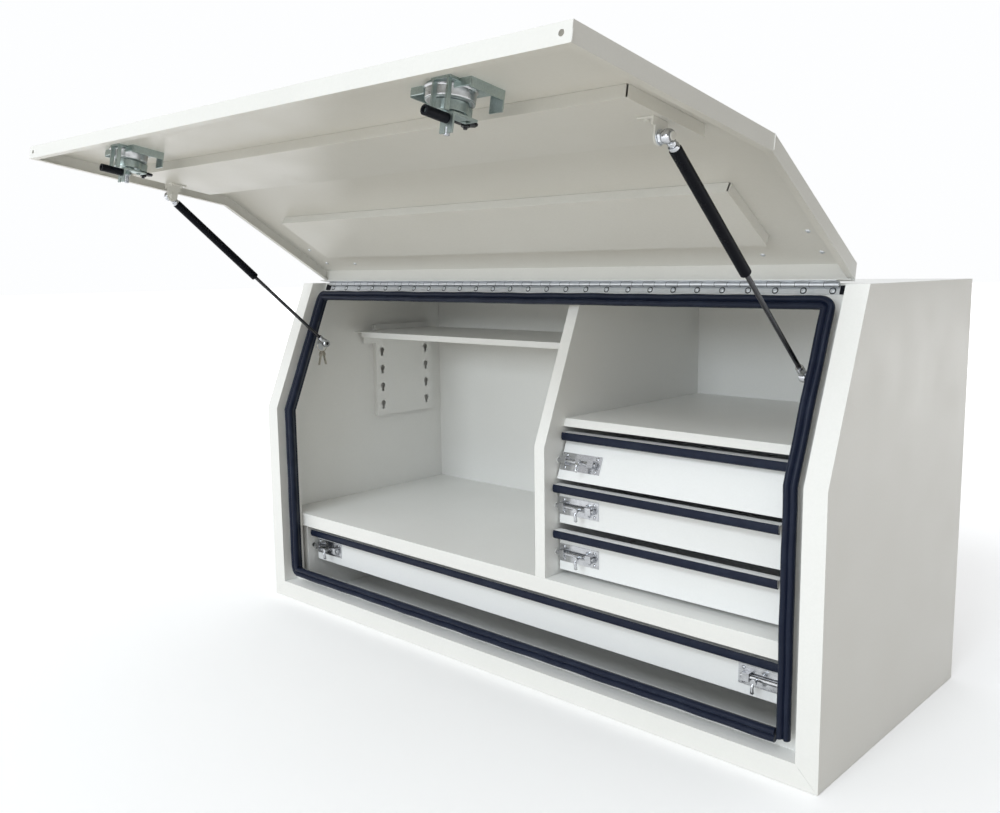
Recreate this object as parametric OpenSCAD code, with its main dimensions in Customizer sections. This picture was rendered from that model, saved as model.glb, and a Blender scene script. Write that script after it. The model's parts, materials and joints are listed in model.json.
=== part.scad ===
// Wide worksite tool chest with a lift-up kinked door, four drawers and an adjustable shelf.
// Millimetres, +Z up, front towards -Y, origin at the centre of the base.
// The door is drawn open and the drawers pushed in.

/* [Body] */
// overall width of the chest
body_w = 1500; // [1460:10:1600]
// depth from the front face to the back
body_d = 605; // [600:5:680]
// overall height of the chest
body_h = 806; // [800:2:840]
// height at which the front starts to lean back
kink_z = 494; // [490:1:500]
// how far the top edge of the front stands back from its foot
setback = 127; // [120:1:134]
// sheet metal thickness of body, door and drawers
sheet = 1.6; // [1.2:0.1:1.8]
// width of the front flange around the door
flange_w = 40; // [36:1:42]
// depth of the recess that the door closes into
recess = 40; // [39:0.5:42]
// distance from the flange's inner edge to the sealing lip
lip_in = 30; // [28:1:32]
// depth below the front face at which the sealing lip ends
lip_depth = 20; // [18:1:22]

/* [Seal] */
// width of the rubber seal across the lip
seal_w = 24; // [20:1:26]
// depth of the seal's crest below the front face
seal_crest = 8; // [6:1:10]
// depth of the seal's open back edge below the front face
seal_back = 33; // [30:1:36]
// outer corner radius of the seal
seal_r = 30; // [24:1:34]

/* [Door] */
// how far the door is open in the drawing, degrees
open_angle = 100; // [90:1:100]
// gap around the door inside the flange
door_gap = 2; // [1.5:0.5:3]
// depth of the door's folded edge
skirt = 25; // [22:1:26]
// width of the door's inward return fold
return_w = 12; // [8:1:12]
// height of the two inner stiffeners
stiff_h = 18; // [14:1:19]
// distance from the door's edge to the end of the lower stiffener
stiff_low_in = 63; // [60:1:66]
// distance from the door's edge to the end of the upper stiffener
stiff_high_in = 116; // [100:2:140]

/* [Hinge] */
// distance from the flange's inner edge to the hinge's ends
hinge_in = 26; // [20:1:40]
// outer radius of the hinge knuckles
knuckle_r = 4.5; // [4:0.25:4.5]
// radius of the hinge pin
pin_r = 2; // [1.5:0.25:2.25]
// thickness of the hinge leaves
leaf_t = 1.2; // [1:0.1:1.4]
// width of each hinge leaf
leaf_w = 15; // [14:1:18]
// number of knuckles along the hinge
knuckles = 53; // [21:2:57]

/* [Inside] */
// height of the deck's upper face
deck_z = 219; // [216:1:222]
// height of the deck's front fold
deck_fold = 33; // [28:1:33]
// right-hand face of the divider
divider_x = 146; // [140:1:150]
// width of the divider's front fold
divider_fold = 26; // [20:1:30]
// height of the upper bay floor
bay_z = 538; // [534:1:546]
// height of the shelf's upper face
shelf_z = 672; // [660:2:690]
// depth position of the shelf's front edge
shelf_front = 275; // [260:5:300]
// lift that frees the shelf's studs from the keyholes
shelf_lift = 12; // [10:1:12]

/* [Drawers] */
// depth of the drawer fronts behind the front face
front_y = 85; // [84:1:88]
// depth of the wide drawer's front behind the front face
wide_y = 76; // [76:1:78]
// depth of the top drawer's leaning front behind the slope
top_d = 100; // [99:1:101]
// forward overhang of each drawer's pull lip
pull = 19; // [16:1:19]
// length of the drawer boxes
box_len = 470; // [460:5:480]
// thickness of one telescopic runner, drawer side to cabinet side
runner_t = 13; // [12.6:0.1:13]
// length of the runners
runner_len = 450; // [400:10:450]

/* [Latches] */
// distance of each latch from the middle of the pair
latch_x = 454; // [440:1:470]
// how far left of the door's middle the pair of latches sits
latch_left = 36; // [30:1:40]
// height of the latch spindles with the door shut
latch_z = 146; // [144:1:147]
// travel of the latch bolt
latch_travel = 30; // [27:1:30]
// radius of the latch spindle
spindle_r = 10; // [8:0.5:10]

/* [Struts] */
// distance of each gas strut inside the sealing lip
strut_in = 30; // [29:0.5:31]
// radius of the strut tube
tube_r = 9; // [7:0.5:9]
// radius of the strut rod
rod_r = 4; // [3:0.25:4]
// share of the open length that the tube takes up
tube_share = 0.51; // [0.48:0.01:0.52]

/* [Fits] */
// running clearance of pins and rods in their holes
run_gap = 0.05; // [0.03:0.01:0.08]
// small gap between pieces that pass each other
pass_gap = 0.4; // [0.3:0.05:0.5]

/* [Hidden] */
$fn = 48;
steel = [0.93, 0.93, 0.9];
zinc = [0.72, 0.75, 0.74];
black = [0.08, 0.09, 0.11];

// Overlap of joined shapes, overrun of cuts, and gap of curved faces that must not touch.
tiny = 0.01;
cut = 1;
touch_gap = 0.3;

// Body outline: tilt of the upper front, edges of the opening, sealing lip and header.
half_w = body_w / 2;
in_w = half_w - sheet;
back_y = body_d - sheet;
roof_in = body_h - sheet;
tilt = atan2(setback, body_h - kink_z);
door_edge = half_w - flange_w;
lip_x = door_edge - lip_in;
lip_z = flange_w + lip_in;
header_extra = 12;
roof_y = (body_h - kink_z) * tan(tilt) + recess / cos(tilt);
roof_l = (body_h - kink_z + recess * sin(tilt)) / cos(tilt);
top_l = roof_l - lip_in - header_extra;
inner_d = recess + sheet + pass_gap;
inner_fit = in_w - pass_gap;
kink_near = -50;
kink_far = 400;
seal_r_in = 14;

// Hinge line and door outline.
hinge_drop = 5;
hinge_d = recess - leaf_t - knuckle_r - touch_gap;
hinge_l = roof_l - hinge_drop;
hinge_y = hinge_l * sin(tilt) + hinge_d * cos(tilt);
hinge_z = kink_z + hinge_l * cos(tilt) - hinge_d * sin(tilt);
hinge_half = door_edge - hinge_in;
knuckle_len = 2 * hinge_half / knuckles;
knuckle_foot = 2;
leaf_edge = 1;
leaf_top = hinge_l - leaf_edge;
screw_r = 2.2;
screw_n = 27;
screw_in = 12;
screw_pitch = 2 * (hinge_half - screw_in) / (screw_n - 1);
screw_up = 6;
screw_head = [1.2, 2.4, 3.4];
screw_x = [for (i = [0 : screw_n - 1]) (i - (screw_n - 1) / 2) * screw_pitch];
door_half = door_edge - door_gap;
door_z0 = flange_w + door_gap;
door_back = hinge_y - knuckle_r - touch_gap - leaf_t;
drain_r = 4;
slit_w = 2.6;
drain_in = 15;
stiff_low_z = [230, 416];
stiff_high_l = [97, 249];

// Struts: eye on the door with the door shut, anchor behind the recess, and their brackets.
strut_x = lip_x - strut_in;
eye_r = 8;
eye_half = 6;
eye_y = 44;
eye_z = 320;
anchor_l = 192;
anchor_d = 47;
anchor_x = strut_x + eye_half + touch_gap;
anchor_stud = 20;
anchor_leg = anchor_x + anchor_stud;
anchor_half = 16;
anchor_in = 4;
bracket_t = 3;
bracket_half = 18;
bracket_foot = 24;
bracket_in = 13;
bracket_r = 12;
collar_r = 6;
rivet_h = 4;
head_t = 2.5;
neck_r = 5;
neck_len = 24;
bore_from = 34;
rod_in = 24;
socket_len = 26;

// Drawers: heights of each front, widths of fronts and boxes, and the room around them.
low_z = [230, 315];
middle_z = [327, 409];
top_z = [419, 511];
wide_z = [93, 174];
front_gap = 3;
front_over = 2;
strut_room = 5;
small_x0 = divider_x + front_gap;
box_x0 = divider_x + runner_t;
box_x1 = strut_x - tube_r - strut_room;
small_x1 = box_x1 + front_over;
panel_x = box_x1 + runner_t;
wide_in = 16;
wide_over = 5;
wide_half = lip_x - wide_in;
wide_box = wide_half - wide_over;
support_x = wide_box + runner_t;
support_y = 52;
support_fold = 26;
hem = 14;
floor_up = 2;
rim_down = 14;
lean_over = 2;
lean_pull = pull + lean_over;
top_lip_y = slope_y(top_z[1], top_d) - lean_pull;
trim_t = 1.7;
run_y = 118;
wide_run_y = 98;
run_dz = 30;
strip_h = [45, 34, 26];
strip_t = [4, 4, 4.2];
strip_less = [0, 20, 0];
groove = 1.2;

// Barrel bolts and their keeper holes.
bolt_dz = 37;
bolt_r = 4.5;
bolt_off = 6.5;
bolt_len = 98;
bolt_rod_less = 8;
guide_span = [[6, 18], [72, 86]];
guide_half = 7.5;
guide_wall = 2;
plate_half = 18;
knob_at = 57;
knob_r = [3, 5.5];
knob_y = [13, 19];
keeper_gap = 1;
keeper_r = bolt_r + keeper_gap;
keeper_reach = 10;
bolt_in = 2;
tip_gap = 0.6;
small_bolt = small_x0 + bolt_in;
small_tip = divider_x + tip_gap;
wide_bolt = -wide_half + bolt_in;
wide_tip = -wide_half - bolt_in;
lean_bolt_l = (top_z[0] + bolt_dz - kink_z + (top_d - bolt_off) * sin(tilt)) / cos(tilt);
top_bolt_y = slope_y(top_z[0] + bolt_dz, top_d - bolt_off);

// Folded inner panels and the shelf with its keyholes.
deck_side_fold = 20;
bay_d = 84;
bay_fold = 16;
bay_notch_y = 130;
panel_y = 118;
panel_fold = 24;
stand = 13;
key_in = [97, 261];
key_y = [shelf_front + key_in[0], shelf_front + key_in[1]];
key_r = 8;
key_slot = 4.2;
key_pitch = 50;
key_rows = 5;
key_top = 7;
key_room = 4;
key_low = shelf_z - key_top - (key_rows - 1) * key_pitch;
plate_edge = 22;
plate_foot = 34;
plate_over = 15;
shelf_depth = 287;
shelf_fold = 14;
shelf_back = 32;
shelf_end = 36;
shelf_corner = 32;
shelf_hem = 14;
shelf_x0 = -in_w + stand + pass_gap;
shelf_x1 = divider_x - sheet - stand - pass_gap;
stud_r = [3.8, 7.2];
stud_head = -sheet - 2 * pass_gap;
stud_t = 3;

// Door latches: dish, handle, crank, yoke slide and sleeve.
dish_r = 34;
dish_d = 22;
dish_t = 2;
dish_rim = [60, 46];
dish_fit = 0.2;
mount_x = [-55, 60];
mount_z = [-23, 41];
mount_y = 5;
mount_wall = 2.5;
mount_end = 15;
mount_back_x = 36;
mount_back = 30;
tongue_x = [3, 39];
grip = 23;
grip_r = 7;
grip_y = [2, 14];
crank = latch_travel / sqrt(2);
crank_at = crank / sqrt(2);
cam_gap = 1;
cam_y = dish_d + cam_gap;
cam_t = 14;
cam_back = cam_y + cam_t;
cam_edge = 4.2;
arm_half = 13;
arm_len = 25;
boss_wall = 2;
boss_r = spindle_r + boss_wall;
boss_h = 4;
drive_r = 3;
drive_h = 10;
stud_len = 28;
stud_thread_r = 4;
nut_up = 5;
nut_y = cam_back + nut_up;
nut_h = 7;
nut_r = 7.5;
post_x = [9, 32.5];
post_w = 3;
post_z = [-40, -33];
post_top = 46;
slide_gap = 5.5;
slide_y = cam_back + slide_gap;
slide_t = 3;
slot_end = 0.6;
slot_side = 1.2;
yoke_over = 8;
yoke_top = crank_at + yoke_over;
sleeve_x = 20.5;
sleeve_r = 7;
sleeve_rod_r = 4;
sleeve_gap = 2.4;
sleeve_y = recess + sheet + sleeve_gap + sleeve_r;
sleeve_up = 14;
sleeve_len = 40;
sleeve_z0 = lip_z + sleeve_up - latch_z;
angle_z = sleeve_z0 + sleeve_len;
angle_y = 27.5;
angle_slot_y = 18;

// Key ring.
ring_in = 13;
ring_t = 0.9;
ring_drop = ring_in - rod_r - touch_gap;
ring_along = 11;
ring_x = anchor_x + ring_along;
key_t = 1.8;
key_spread = 13;
bow_r = 7.5;
bow_z = -5;
blade_half = 3.5;
blade_z = [-34, -8];

function on_slope(l, d) = [l * sin(tilt) + d * cos(tilt), kink_z + l * cos(tilt) - d * sin(tilt)];
function slope_y(z, d) = (z - kink_z) * tan(tilt) + d / cos(tilt);
function kink_at(d) = kink_z - d * tan(tilt / 2);
function opened(p) = [
  hinge_y + (p[0] - hinge_y) * cos(open_angle) + (p[1] - hinge_z) * sin(open_angle),
  hinge_z - (p[0] - hinge_y) * sin(open_angle) + (p[1] - hinge_z) * cos(open_angle)
];
eye_open = opened([eye_y, eye_z]);
anchor = on_slope(anchor_l, anchor_d);
strut_len = norm(anchor - eye_open);
strut_dir = atan2(anchor[1] - eye_open[1], anchor[0] - eye_open[0]);
tube_len = strut_len * tube_share;

// Depths below are counted from the front face, so every piece is moved forward as it is placed.
module place() {
  translate([0, -body_d / 2, 0]) children();
}

// Turns what is drawn for the shut door up to the open position.
module on_door() {
  translate([0, hinge_y, hinge_z])
    rotate([-open_angle, 0, 0])
      translate([0, -hinge_y, -hinge_z])
        children();
}

// Extrudes a side view of depth and height along the width.
module across(x0, x1) {
  translate([x0, 0, 0]) rotate([90, 0, 90]) linear_extrude(x1 - x0) children();
}

// Extrudes a front view of width and height backwards from one depth to another.
module backwards(y0, y1) {
  translate([0, y1, 0]) rotate([90, 0, 0]) linear_extrude(y1 - y0) children();
}

// Carries a piece drawn for the upright front onto the leaning upper front.
module on_lean() {
  translate([0, 0, kink_z]) rotate([-tilt, 0, 0]) children();
}

// Draws a piece twice, the second one mirrored to the other end of the chest.
module both_ends() {
  children();
  mirror([1, 0, 0]) children();
}

module box(p, q) {
  translate(p) cube(q - p);
}

module rod_x(x0, x1, y, z, r) {
  translate([x0, y, z]) rotate([0, 90, 0]) cylinder(h = x1 - x0, r = r);
}

module rod_y(x, y0, y1, z, r) {
  translate([x, y0, z]) rotate([-90, 0, 0]) cylinder(h = y1 - y0, r = r);
}

// Strip of sheet that follows the kinked front between two depths.
module band(d0, d1, z0, z1) {
  polygon([[d0, z0], [d0, kink_at(d0)], [slope_y(z1, d0), z1], [slope_y(z1, d1), z1],
    [d1, kink_at(d1)], [d1, z0]]);
}

// Upright window shape with rounded corners.
module window(hw, z0, z1, r) {
  translate([-hw, z0 + r]) square([2 * hw, z1 - z0 - 2 * r]);
  translate([-hw + r, z0]) square([2 * hw - 2 * r, z1 - z0]);
  for (x = [-hw + r, hw - r], z = [z0 + r, z1 - r]) {
    translate([x, z]) circle(r);
  }
}

// Roof, back and floor, with the folded sill and header that carry the sealing lip.
module shell() color(steel) place() {
  box([-in_w, sheet, 0], [in_w, body_d, sheet]);
  box([-in_w, back_y, sheet], [in_w, body_d, roof_in]);
  box([-in_w, roof_y, roof_in], [in_w, body_d, body_h]);
  backwards(0, sheet) polygon([[-in_w, 0], [in_w, 0], [in_w, sheet], [door_edge, flange_w],
    [-door_edge, flange_w], [-in_w, sheet]]);
  box([-door_edge, 0, flange_w - sheet], [door_edge, recess + sheet, flange_w]);
  box([-lip_x, recess, flange_w - sheet], [lip_x, recess + sheet, lip_z]);
  box([-lip_x, lip_depth, lip_z - sheet], [lip_x, recess + sheet, lip_z]);
  across(-lip_x, lip_x) polygon([on_slope(top_l, recess), [roof_y, body_h],
    [slope_y(body_h, recess + sheet), body_h], on_slope(top_l, recess + sheet)]);
  across(-lip_x, lip_x) polygon([on_slope(top_l, lip_depth), on_slope(top_l, recess + sheet),
    on_slope(top_l - sheet, recess + sheet), on_slope(top_l - sheet, lip_depth)]);
}

// One side of the chest with its folded front flange, recess wall and sealing lip.
module side_sheet() {
  lip_top = on_slope(top_l - sheet, recess + sheet)[1];
  across(-half_w, -in_w) polygon([[0, 0], [body_d, 0], [body_d, body_h], [setback, body_h], [0, kink_z]]);
  across(-half_w, -door_edge) band(0, sheet, flange_w, body_h);
  backwards(0, sheet) polygon([[-half_w, 0], [-door_edge, flange_w], [-half_w, flange_w]]);
  across(-door_edge - sheet, -door_edge) band(0, recess + sheet, flange_w, roof_in);
  across(-door_edge - sheet, -lip_x) band(recess, recess + sheet, flange_w, roof_in);
  across(-lip_x - sheet, -lip_x) band(lip_depth, recess + sheet, lip_z - sheet, lip_top);
  box([-half_w, setback, roof_in], [-door_edge, roof_y, body_h]);
}

module side_left() color(steel) place() side_sheet();

module side_right() color(steel) place() mirror([1, 0, 0]) side_sheet();

// Seal outline for one face of the front: ring, less the slot that grips the lip.
module seal_face(z0, z1) {
  mid_x = lip_x + sheet / 2;
  half = seal_w / 2;
  half_slot = sheet / 2 + touch_gap;
  difference() {
    backwards(seal_crest, seal_back) difference() {
      window(mid_x + half, z0 - half, z1 + half, seal_r);
      window(mid_x - half, z0 + half, z1 - half, seal_r_in);
    }
    backwards(lip_depth - touch_gap, seal_back + cut) difference() {
      translate([-mid_x - half_slot, z0 - half_slot])
        square([2 * (mid_x + half_slot), z1 - z0 + 2 * half_slot]);
      translate([-mid_x + half_slot, z0 + half_slot])
        square([2 * (mid_x - half_slot), z1 - z0 - 2 * half_slot]);
    }
  }
}

// Everything on one side of the plane where the upright and leaning fronts meet; z is the far limit.
module kink_side(z) {
  across(-half_w, half_w) polygon([[kink_near, z], [kink_far, z],
    [kink_far, kink_at(kink_far)], [kink_near, kink_at(kink_near)]]);
}

// Rubber edge seal clipped over the lip, all round the opening.
module seal() color(black) place() {
  intersection() {
    seal_face(lip_z - sheet / 2, body_h);
    kink_side(0);
  }
  intersection() {
    on_lean() seal_face(-body_h / 2, top_l - sheet / 2);
    kink_side(body_h);
  }
}

// Deck across the whole width above the wide drawer.
module deck() color(steel) place() {
  box([-inner_fit, inner_d, deck_z - sheet], [inner_fit, back_y, deck_z]);
  box([-inner_fit, inner_d, deck_z - deck_fold], [inner_fit, inner_d + sheet, deck_z]);
  box([-inner_fit, back_y - sheet, deck_z - deck_side_fold], [inner_fit, back_y, deck_z]);
  both_ends() box([-inner_fit, inner_d, deck_z - deck_side_fold], [-inner_fit + sheet, back_y, deck_z]);
}

// Hole at x that takes the tip of a drawer bolt.
module keeper(x, y, z) {
  rod_x(x - keeper_reach, x + keeper_reach, y, z, keeper_r);
}

// Upright divider between the open bay and the drawers, with keeper holes for the drawer bolts.
module divider() color(steel) place() {
  fold_x = divider_x - divider_fold;
  difference() {
    union() {
      across(divider_x - sheet, divider_x) polygon([[inner_d, deck_z], [inner_d, kink_at(inner_d)],
        [slope_y(roof_in, inner_d), roof_in], [back_y, roof_in], [back_y, deck_z]]);
      across(fold_x, divider_x) band(inner_d, inner_d + sheet, deck_z, roof_in);
      box([fold_x, inner_d, deck_z], [divider_x, back_y, deck_z + sheet]);
      box([fold_x, back_y - sheet, deck_z], [divider_x, back_y, roof_in]);
    }
    keeper(divider_x, front_y - bolt_off, low_z[0] + bolt_dz);
    keeper(divider_x, front_y - bolt_off, middle_z[0] + bolt_dz);
    keeper(divider_x, top_bolt_y, top_z[0] + bolt_dz);
  }
}

// Floor of the upper right bay with a folded leaning front edge, notched beside the strut.
module bay_floor() color(steel) place() {
  front = slope_y(bay_z, bay_d);
  foot = bay_z - bay_fold;
  box([divider_x, front, bay_z - sheet], [small_x1, back_y, bay_z]);
  box([small_x1 - sheet, bay_notch_y, bay_z - sheet], [inner_fit, back_y, bay_z]);
  across(divider_x, small_x1) polygon([[front, bay_z], [slope_y(foot, bay_d), foot],
    [slope_y(foot, bay_d + sheet), foot], [slope_y(bay_z, bay_d + sheet), bay_z]]);
  box([inner_fit - sheet, bay_notch_y, foot], [inner_fit, back_y, bay_z]);
}

// Upright panel that carries the right-hand runners of the small drawers.
module drawer_panel() color(steel) place() {
  top = bay_z - sheet;
  box([panel_x, panel_y, deck_z], [panel_x + sheet, back_y, top]);
  box([panel_x, panel_y, deck_z], [panel_x + panel_fold, panel_y + sheet, top]);
  box([panel_x, panel_y, deck_z], [panel_x + panel_fold, back_y, deck_z + sheet]);
}

// Pair of folded uprights that carry the wide drawer's runners and take its bolts.
module supports() color(steel) place() both_ends() difference() {
  outer = support_x + support_fold;
  top = deck_z - sheet;
  union() {
    box([support_x, support_y, sheet], [support_x + sheet, back_y - sheet, top]);
    box([support_x, support_y, sheet], [outer, support_y + sheet, top]);
    box([support_x, support_y, sheet], [outer, back_y - sheet, 2 * sheet]);
  }
  keeper(support_x, wide_y - bolt_off, wide_z[0] + bolt_dz);
}

// Keyhole plate standing off the wall at x = 0, with its face towards the shelf at +x.
module keyhole_plate() {
  y0 = key_y[0] - plate_edge;
  y1 = key_y[1] + plate_edge;
  z0 = key_low - plate_foot;
  z1 = shelf_z + plate_over;
  difference() {
    union() {
      box([stand - sheet, y0, z0], [stand, y1, z1]);
      for (y = [y0, y1 - sheet]) {
        box([0, y, z0], [stand, y + sheet, z1]);
      }
    }
    for (y = key_y, i = [0 : key_rows - 1]) {
      z = key_low + i * key_pitch;
      rod_x(-cut, stand + cut, y, z, key_r);
      box([-cut, y - key_slot, z - shelf_lift - key_room], [stand + cut, y + key_slot, z]);
    }
  }
}

// Two keyhole plates: one on the left wall, one on the divider.
module keyhole_plates() color(steel) place() {
  translate([-in_w, 0, 0]) keyhole_plate();
  translate([divider_x - sheet, 0, 0]) mirror([1, 0, 0]) keyhole_plate();
}

// One headed stud of the shelf, reaching through a keyhole at -x.
module shelf_stud(y, z) {
  rod_x(stud_head - tiny, sheet, y, z, stud_r[0]);
  rod_x(stud_head - stud_t, stud_head, y, z, stud_r[1]);
}

// Folded shelf with studs that drop into the keyholes.
module shelf() color(steel) place() {
  back = shelf_front + shelf_depth;
  end_y = shelf_front + shelf_corner;
  foot = shelf_z - shelf_fold;
  fold_x0 = shelf_x0 + shelf_corner;
  fold_x1 = shelf_x1 - shelf_corner;
  stud_z = key_low + (key_rows - 1) * key_pitch - shelf_lift;
  box([shelf_x0, shelf_front, shelf_z - sheet], [shelf_x1, back, shelf_z]);
  box([fold_x0, shelf_front, foot], [fold_x1, shelf_front + sheet, shelf_z]);
  box([fold_x0, shelf_front, foot], [fold_x1, shelf_front + shelf_hem, foot + sheet]);
  box([shelf_x0, back - sheet, shelf_z - shelf_back], [shelf_x1, back, shelf_z]);
  box([shelf_x0, end_y, shelf_z - shelf_end], [shelf_x0 + sheet, back, shelf_z]);
  box([shelf_x1 - sheet, end_y, shelf_z - shelf_end], [shelf_x1, back, shelf_z]);
  for (y = key_y) {
    translate([shelf_x0, 0, 0]) shelf_stud(y, stud_z);
    translate([shelf_x1, 0, 0]) mirror([1, 0, 0]) shelf_stud(y, stud_z);
  }
}

// Runs through every second knuckle place along the hinge; the child is drawn at the place's left end.
module knuckle_places(first) {
  for (i = [first : 2 : knuckles - 1]) {
    translate([-hinge_half + i * knuckle_len + pass_gap / 2, 0, 0]) children();
  }
}

module knuckle() {
  rod_x(0, knuckle_len - pass_gap, hinge_y, hinge_z, knuckle_r);
}

module pin_bore() {
  rod_x(-hinge_half - cut, hinge_half + cut, hinge_y, hinge_z, pin_r + run_gap);
}

module leaf_hole(x) {
  on_lean() translate([x, recess, hinge_l - leaf_w + screw_up]) rotate([-90, 0, 0]) children();
}

// Leaf on the header, with the odd knuckles.
module hinge_leaf_body() color(zinc) place() difference() {
  face = recess - leaf_t;
  foot = hinge_l - leaf_w;
  union() {
    across(-hinge_half, hinge_half) polygon([on_slope(foot, face), on_slope(leaf_top, face),
      on_slope(leaf_top, recess), on_slope(foot, recess)]);
    knuckle_places(0) {
      knuckle();
      across(0, knuckle_len - pass_gap) polygon([on_slope(leaf_top - knuckle_foot, face - leaf_edge),
        on_slope(leaf_top, face - leaf_edge), on_slope(leaf_top, recess),
        on_slope(leaf_top - knuckle_foot, recess)]);
    }
  }
  pin_bore();
  for (x = screw_x) {
    leaf_hole(x) cylinder(h = 4 * leaf_t, r = screw_r, center = true);
  }
}

// Pin through all the knuckles.
module hinge_pin() color(zinc) place() rod_x(-hinge_half, hinge_half, hinge_y, hinge_z, pin_r);

// Domed screws that hold the leaf to the header.
module hinge_screws() color(zinc) place() for (x = screw_x) {
  leaf_hole(x) {
    translate([0, 0, -leaf_t - screw_head[0]])
      cylinder(h = screw_head[0], r1 = screw_head[1], r2 = screw_head[2]);
    translate([0, 0, -leaf_t - tiny]) cylinder(h = leaf_t + tiny, r = screw_r - run_gap);
  }
}

// Leaf on the door, with the even knuckles.
module hinge_leaf_door() color(zinc) place() on_door() difference() {
  union() {
    box([-hinge_half, door_back, hinge_z - leaf_w], [hinge_half, door_back + leaf_t, hinge_z]);
    knuckle_places(1) {
      knuckle();
      box([0, door_back, hinge_z - knuckle_foot],
        [knuckle_len - pass_gap, door_back + leaf_t + leaf_edge, hinge_z]);
    }
  }
  pin_bore();
}

// Carries a piece to both latches on the shut door.
module each_latch() {
  for (s = [-1, 1]) {
    translate([s * latch_x - latch_left, 0, latch_z]) children();
  }
}

// Kinked door skin with folded edges, latch cut-outs and two drain holes.
module door_pan() color(steel) place() on_door() difference() {
  union() {
    across(-door_half, door_half) band(0, sheet, door_z0, body_h);
    both_ends() {
      across(door_half - sheet, door_half) band(0, skirt, door_z0, body_h);
      across(door_half - return_w, door_half) band(skirt - sheet, skirt, door_z0, body_h);
    }
    box([-door_half, 0, door_z0], [door_half, skirt, door_z0 + sheet]);
    box([-door_half, skirt - sheet, door_z0], [door_half, skirt, door_z0 + return_w]);
    box([-door_half, setback, roof_in], [door_half, door_back, body_h]);
    box([-door_half, door_back - sheet, hinge_z - leaf_w], [door_half, door_back, body_h]);
  }
  each_latch() rod_y(0, -cut, sheet + cut, 0, dish_r + dish_fit);
  both_ends() translate([door_half - drain_in, skirt / 2, door_z0])
    cylinder(h = 2 * (sheet + cut), r = drain_r, center = true);
}

// Shallow folded tray, open towards the door skin, with a slit at each folded corner.
module tray(half, z0, z1) {
  difference() {
    box([-half, sheet, z0], [half, sheet + stiff_h, z1]);
    box([-half + sheet, 0, z0 + sheet], [half - sheet, stiff_h, z1 - sheet]);
    for (x = [-half - cut, half - slit_w], z = [z0 - cut, z1 - slit_w]) {
      box([x, 0, z], [x + slit_w + cut, stiff_h, z + slit_w + cut]);
    }
  }
}

module stiffener_low() color(steel) place() on_door()
  tray(door_half - stiff_low_in, stiff_low_z[0], stiff_low_z[1]);

module stiffener_high() color(steel) place() on_door() on_lean()
  tray(door_half - stiff_high_in, stiff_high_l[0], stiff_high_l[1]);

// Two angle brackets on the lower stiffener, each with a headed stud for a gas strut.
module door_brackets() color(steel) place() on_door() both_ends() {
  face = sheet + stiff_h;
  leg = strut_x - bracket_in;
  head = strut_x + eye_half + pass_gap;
  box([leg - bracket_t - bracket_foot, face, eye_z - bracket_half],
    [leg, face + bracket_t, eye_z + bracket_half]);
  box([leg - bracket_t, face, eye_z - bracket_half], [leg, face + bracket_r, eye_z + bracket_half]);
  box([leg - bracket_t, face, eye_z - bracket_r], [leg, eye_y, eye_z + bracket_r]);
  rod_x(leg - bracket_t, leg, eye_y, eye_z, bracket_r);
  rod_x(leg - tiny, head + head_t, eye_y, eye_z, rod_r);
  rod_x(leg - bracket_t - rivet_h, leg - bracket_t + tiny, eye_y, eye_z, collar_r);
  rod_x(leg - tiny, strut_x - eye_half - pass_gap, eye_y, eye_z, collar_r);
  rod_x(head, head + head_t, eye_y, eye_z, collar_r);
}

// Two round latch dishes sunk into the door, each with a rim outside, a mounting plate with upturned edges
// inside and two guide posts for the bolt.
module latch_dishes() color(zinc) place() on_door() each_latch() difference() {
  union() {
    box([-dish_rim[0], -sheet, -dish_rim[1]], [dish_rim[0], 0, dish_rim[1]]);
    rod_y(0, -sheet, dish_d, 0, dish_r);
    box([mount_x[0], sheet, mount_z[0]], [mount_x[1], mount_y, mount_z[1]]);
    box([mount_x[0], sheet, mount_z[0]], [mount_x[0] + mount_wall, mount_end, mount_z[1]]);
    box([mount_x[1] - mount_wall, sheet, mount_z[0]], [mount_x[1], mount_end, mount_z[1]]);
    box([mount_back_x, sheet, mount_z[1] - mount_wall], [mount_x[1], mount_back, mount_z[1]]);
    box([tongue_x[0], sheet, post_z[0]], [tongue_x[1], mount_y, mount_z[0] + tiny]);
    for (x = [post_x[0] - post_w - pass_gap, post_x[1] + pass_gap]) {
      box([x, sheet, post_z[0]], [x + post_w, post_top, post_z[1]]);
    }
  }
  rod_y(0, -sheet - cut, dish_d - dish_t, 0, dish_r - dish_t);
  rod_y(0, dish_d - dish_t - cut, dish_d + cut, 0, spindle_r + run_gap);
}

// Carries a latch piece to the left (-1) or right (1) latch on the open door.
module at_latch(s) {
  place() on_door() translate([s * latch_x - latch_left, 0, latch_z]) children();
}

// Turning handle with its spindle through the dish floor.
module latch_handle(s) color(zinc) at_latch(s) {
  box([-grip, grip_y[0], -grip_r], [grip, grip_y[1], grip_r]);
  for (x = [-grip, grip]) {
    rod_y(x, grip_y[0], grip_y[1], 0, grip_r);
  }
  rod_y(0, grip_y[1] - tiny, cam_back, 0, spindle_r);
}

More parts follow.
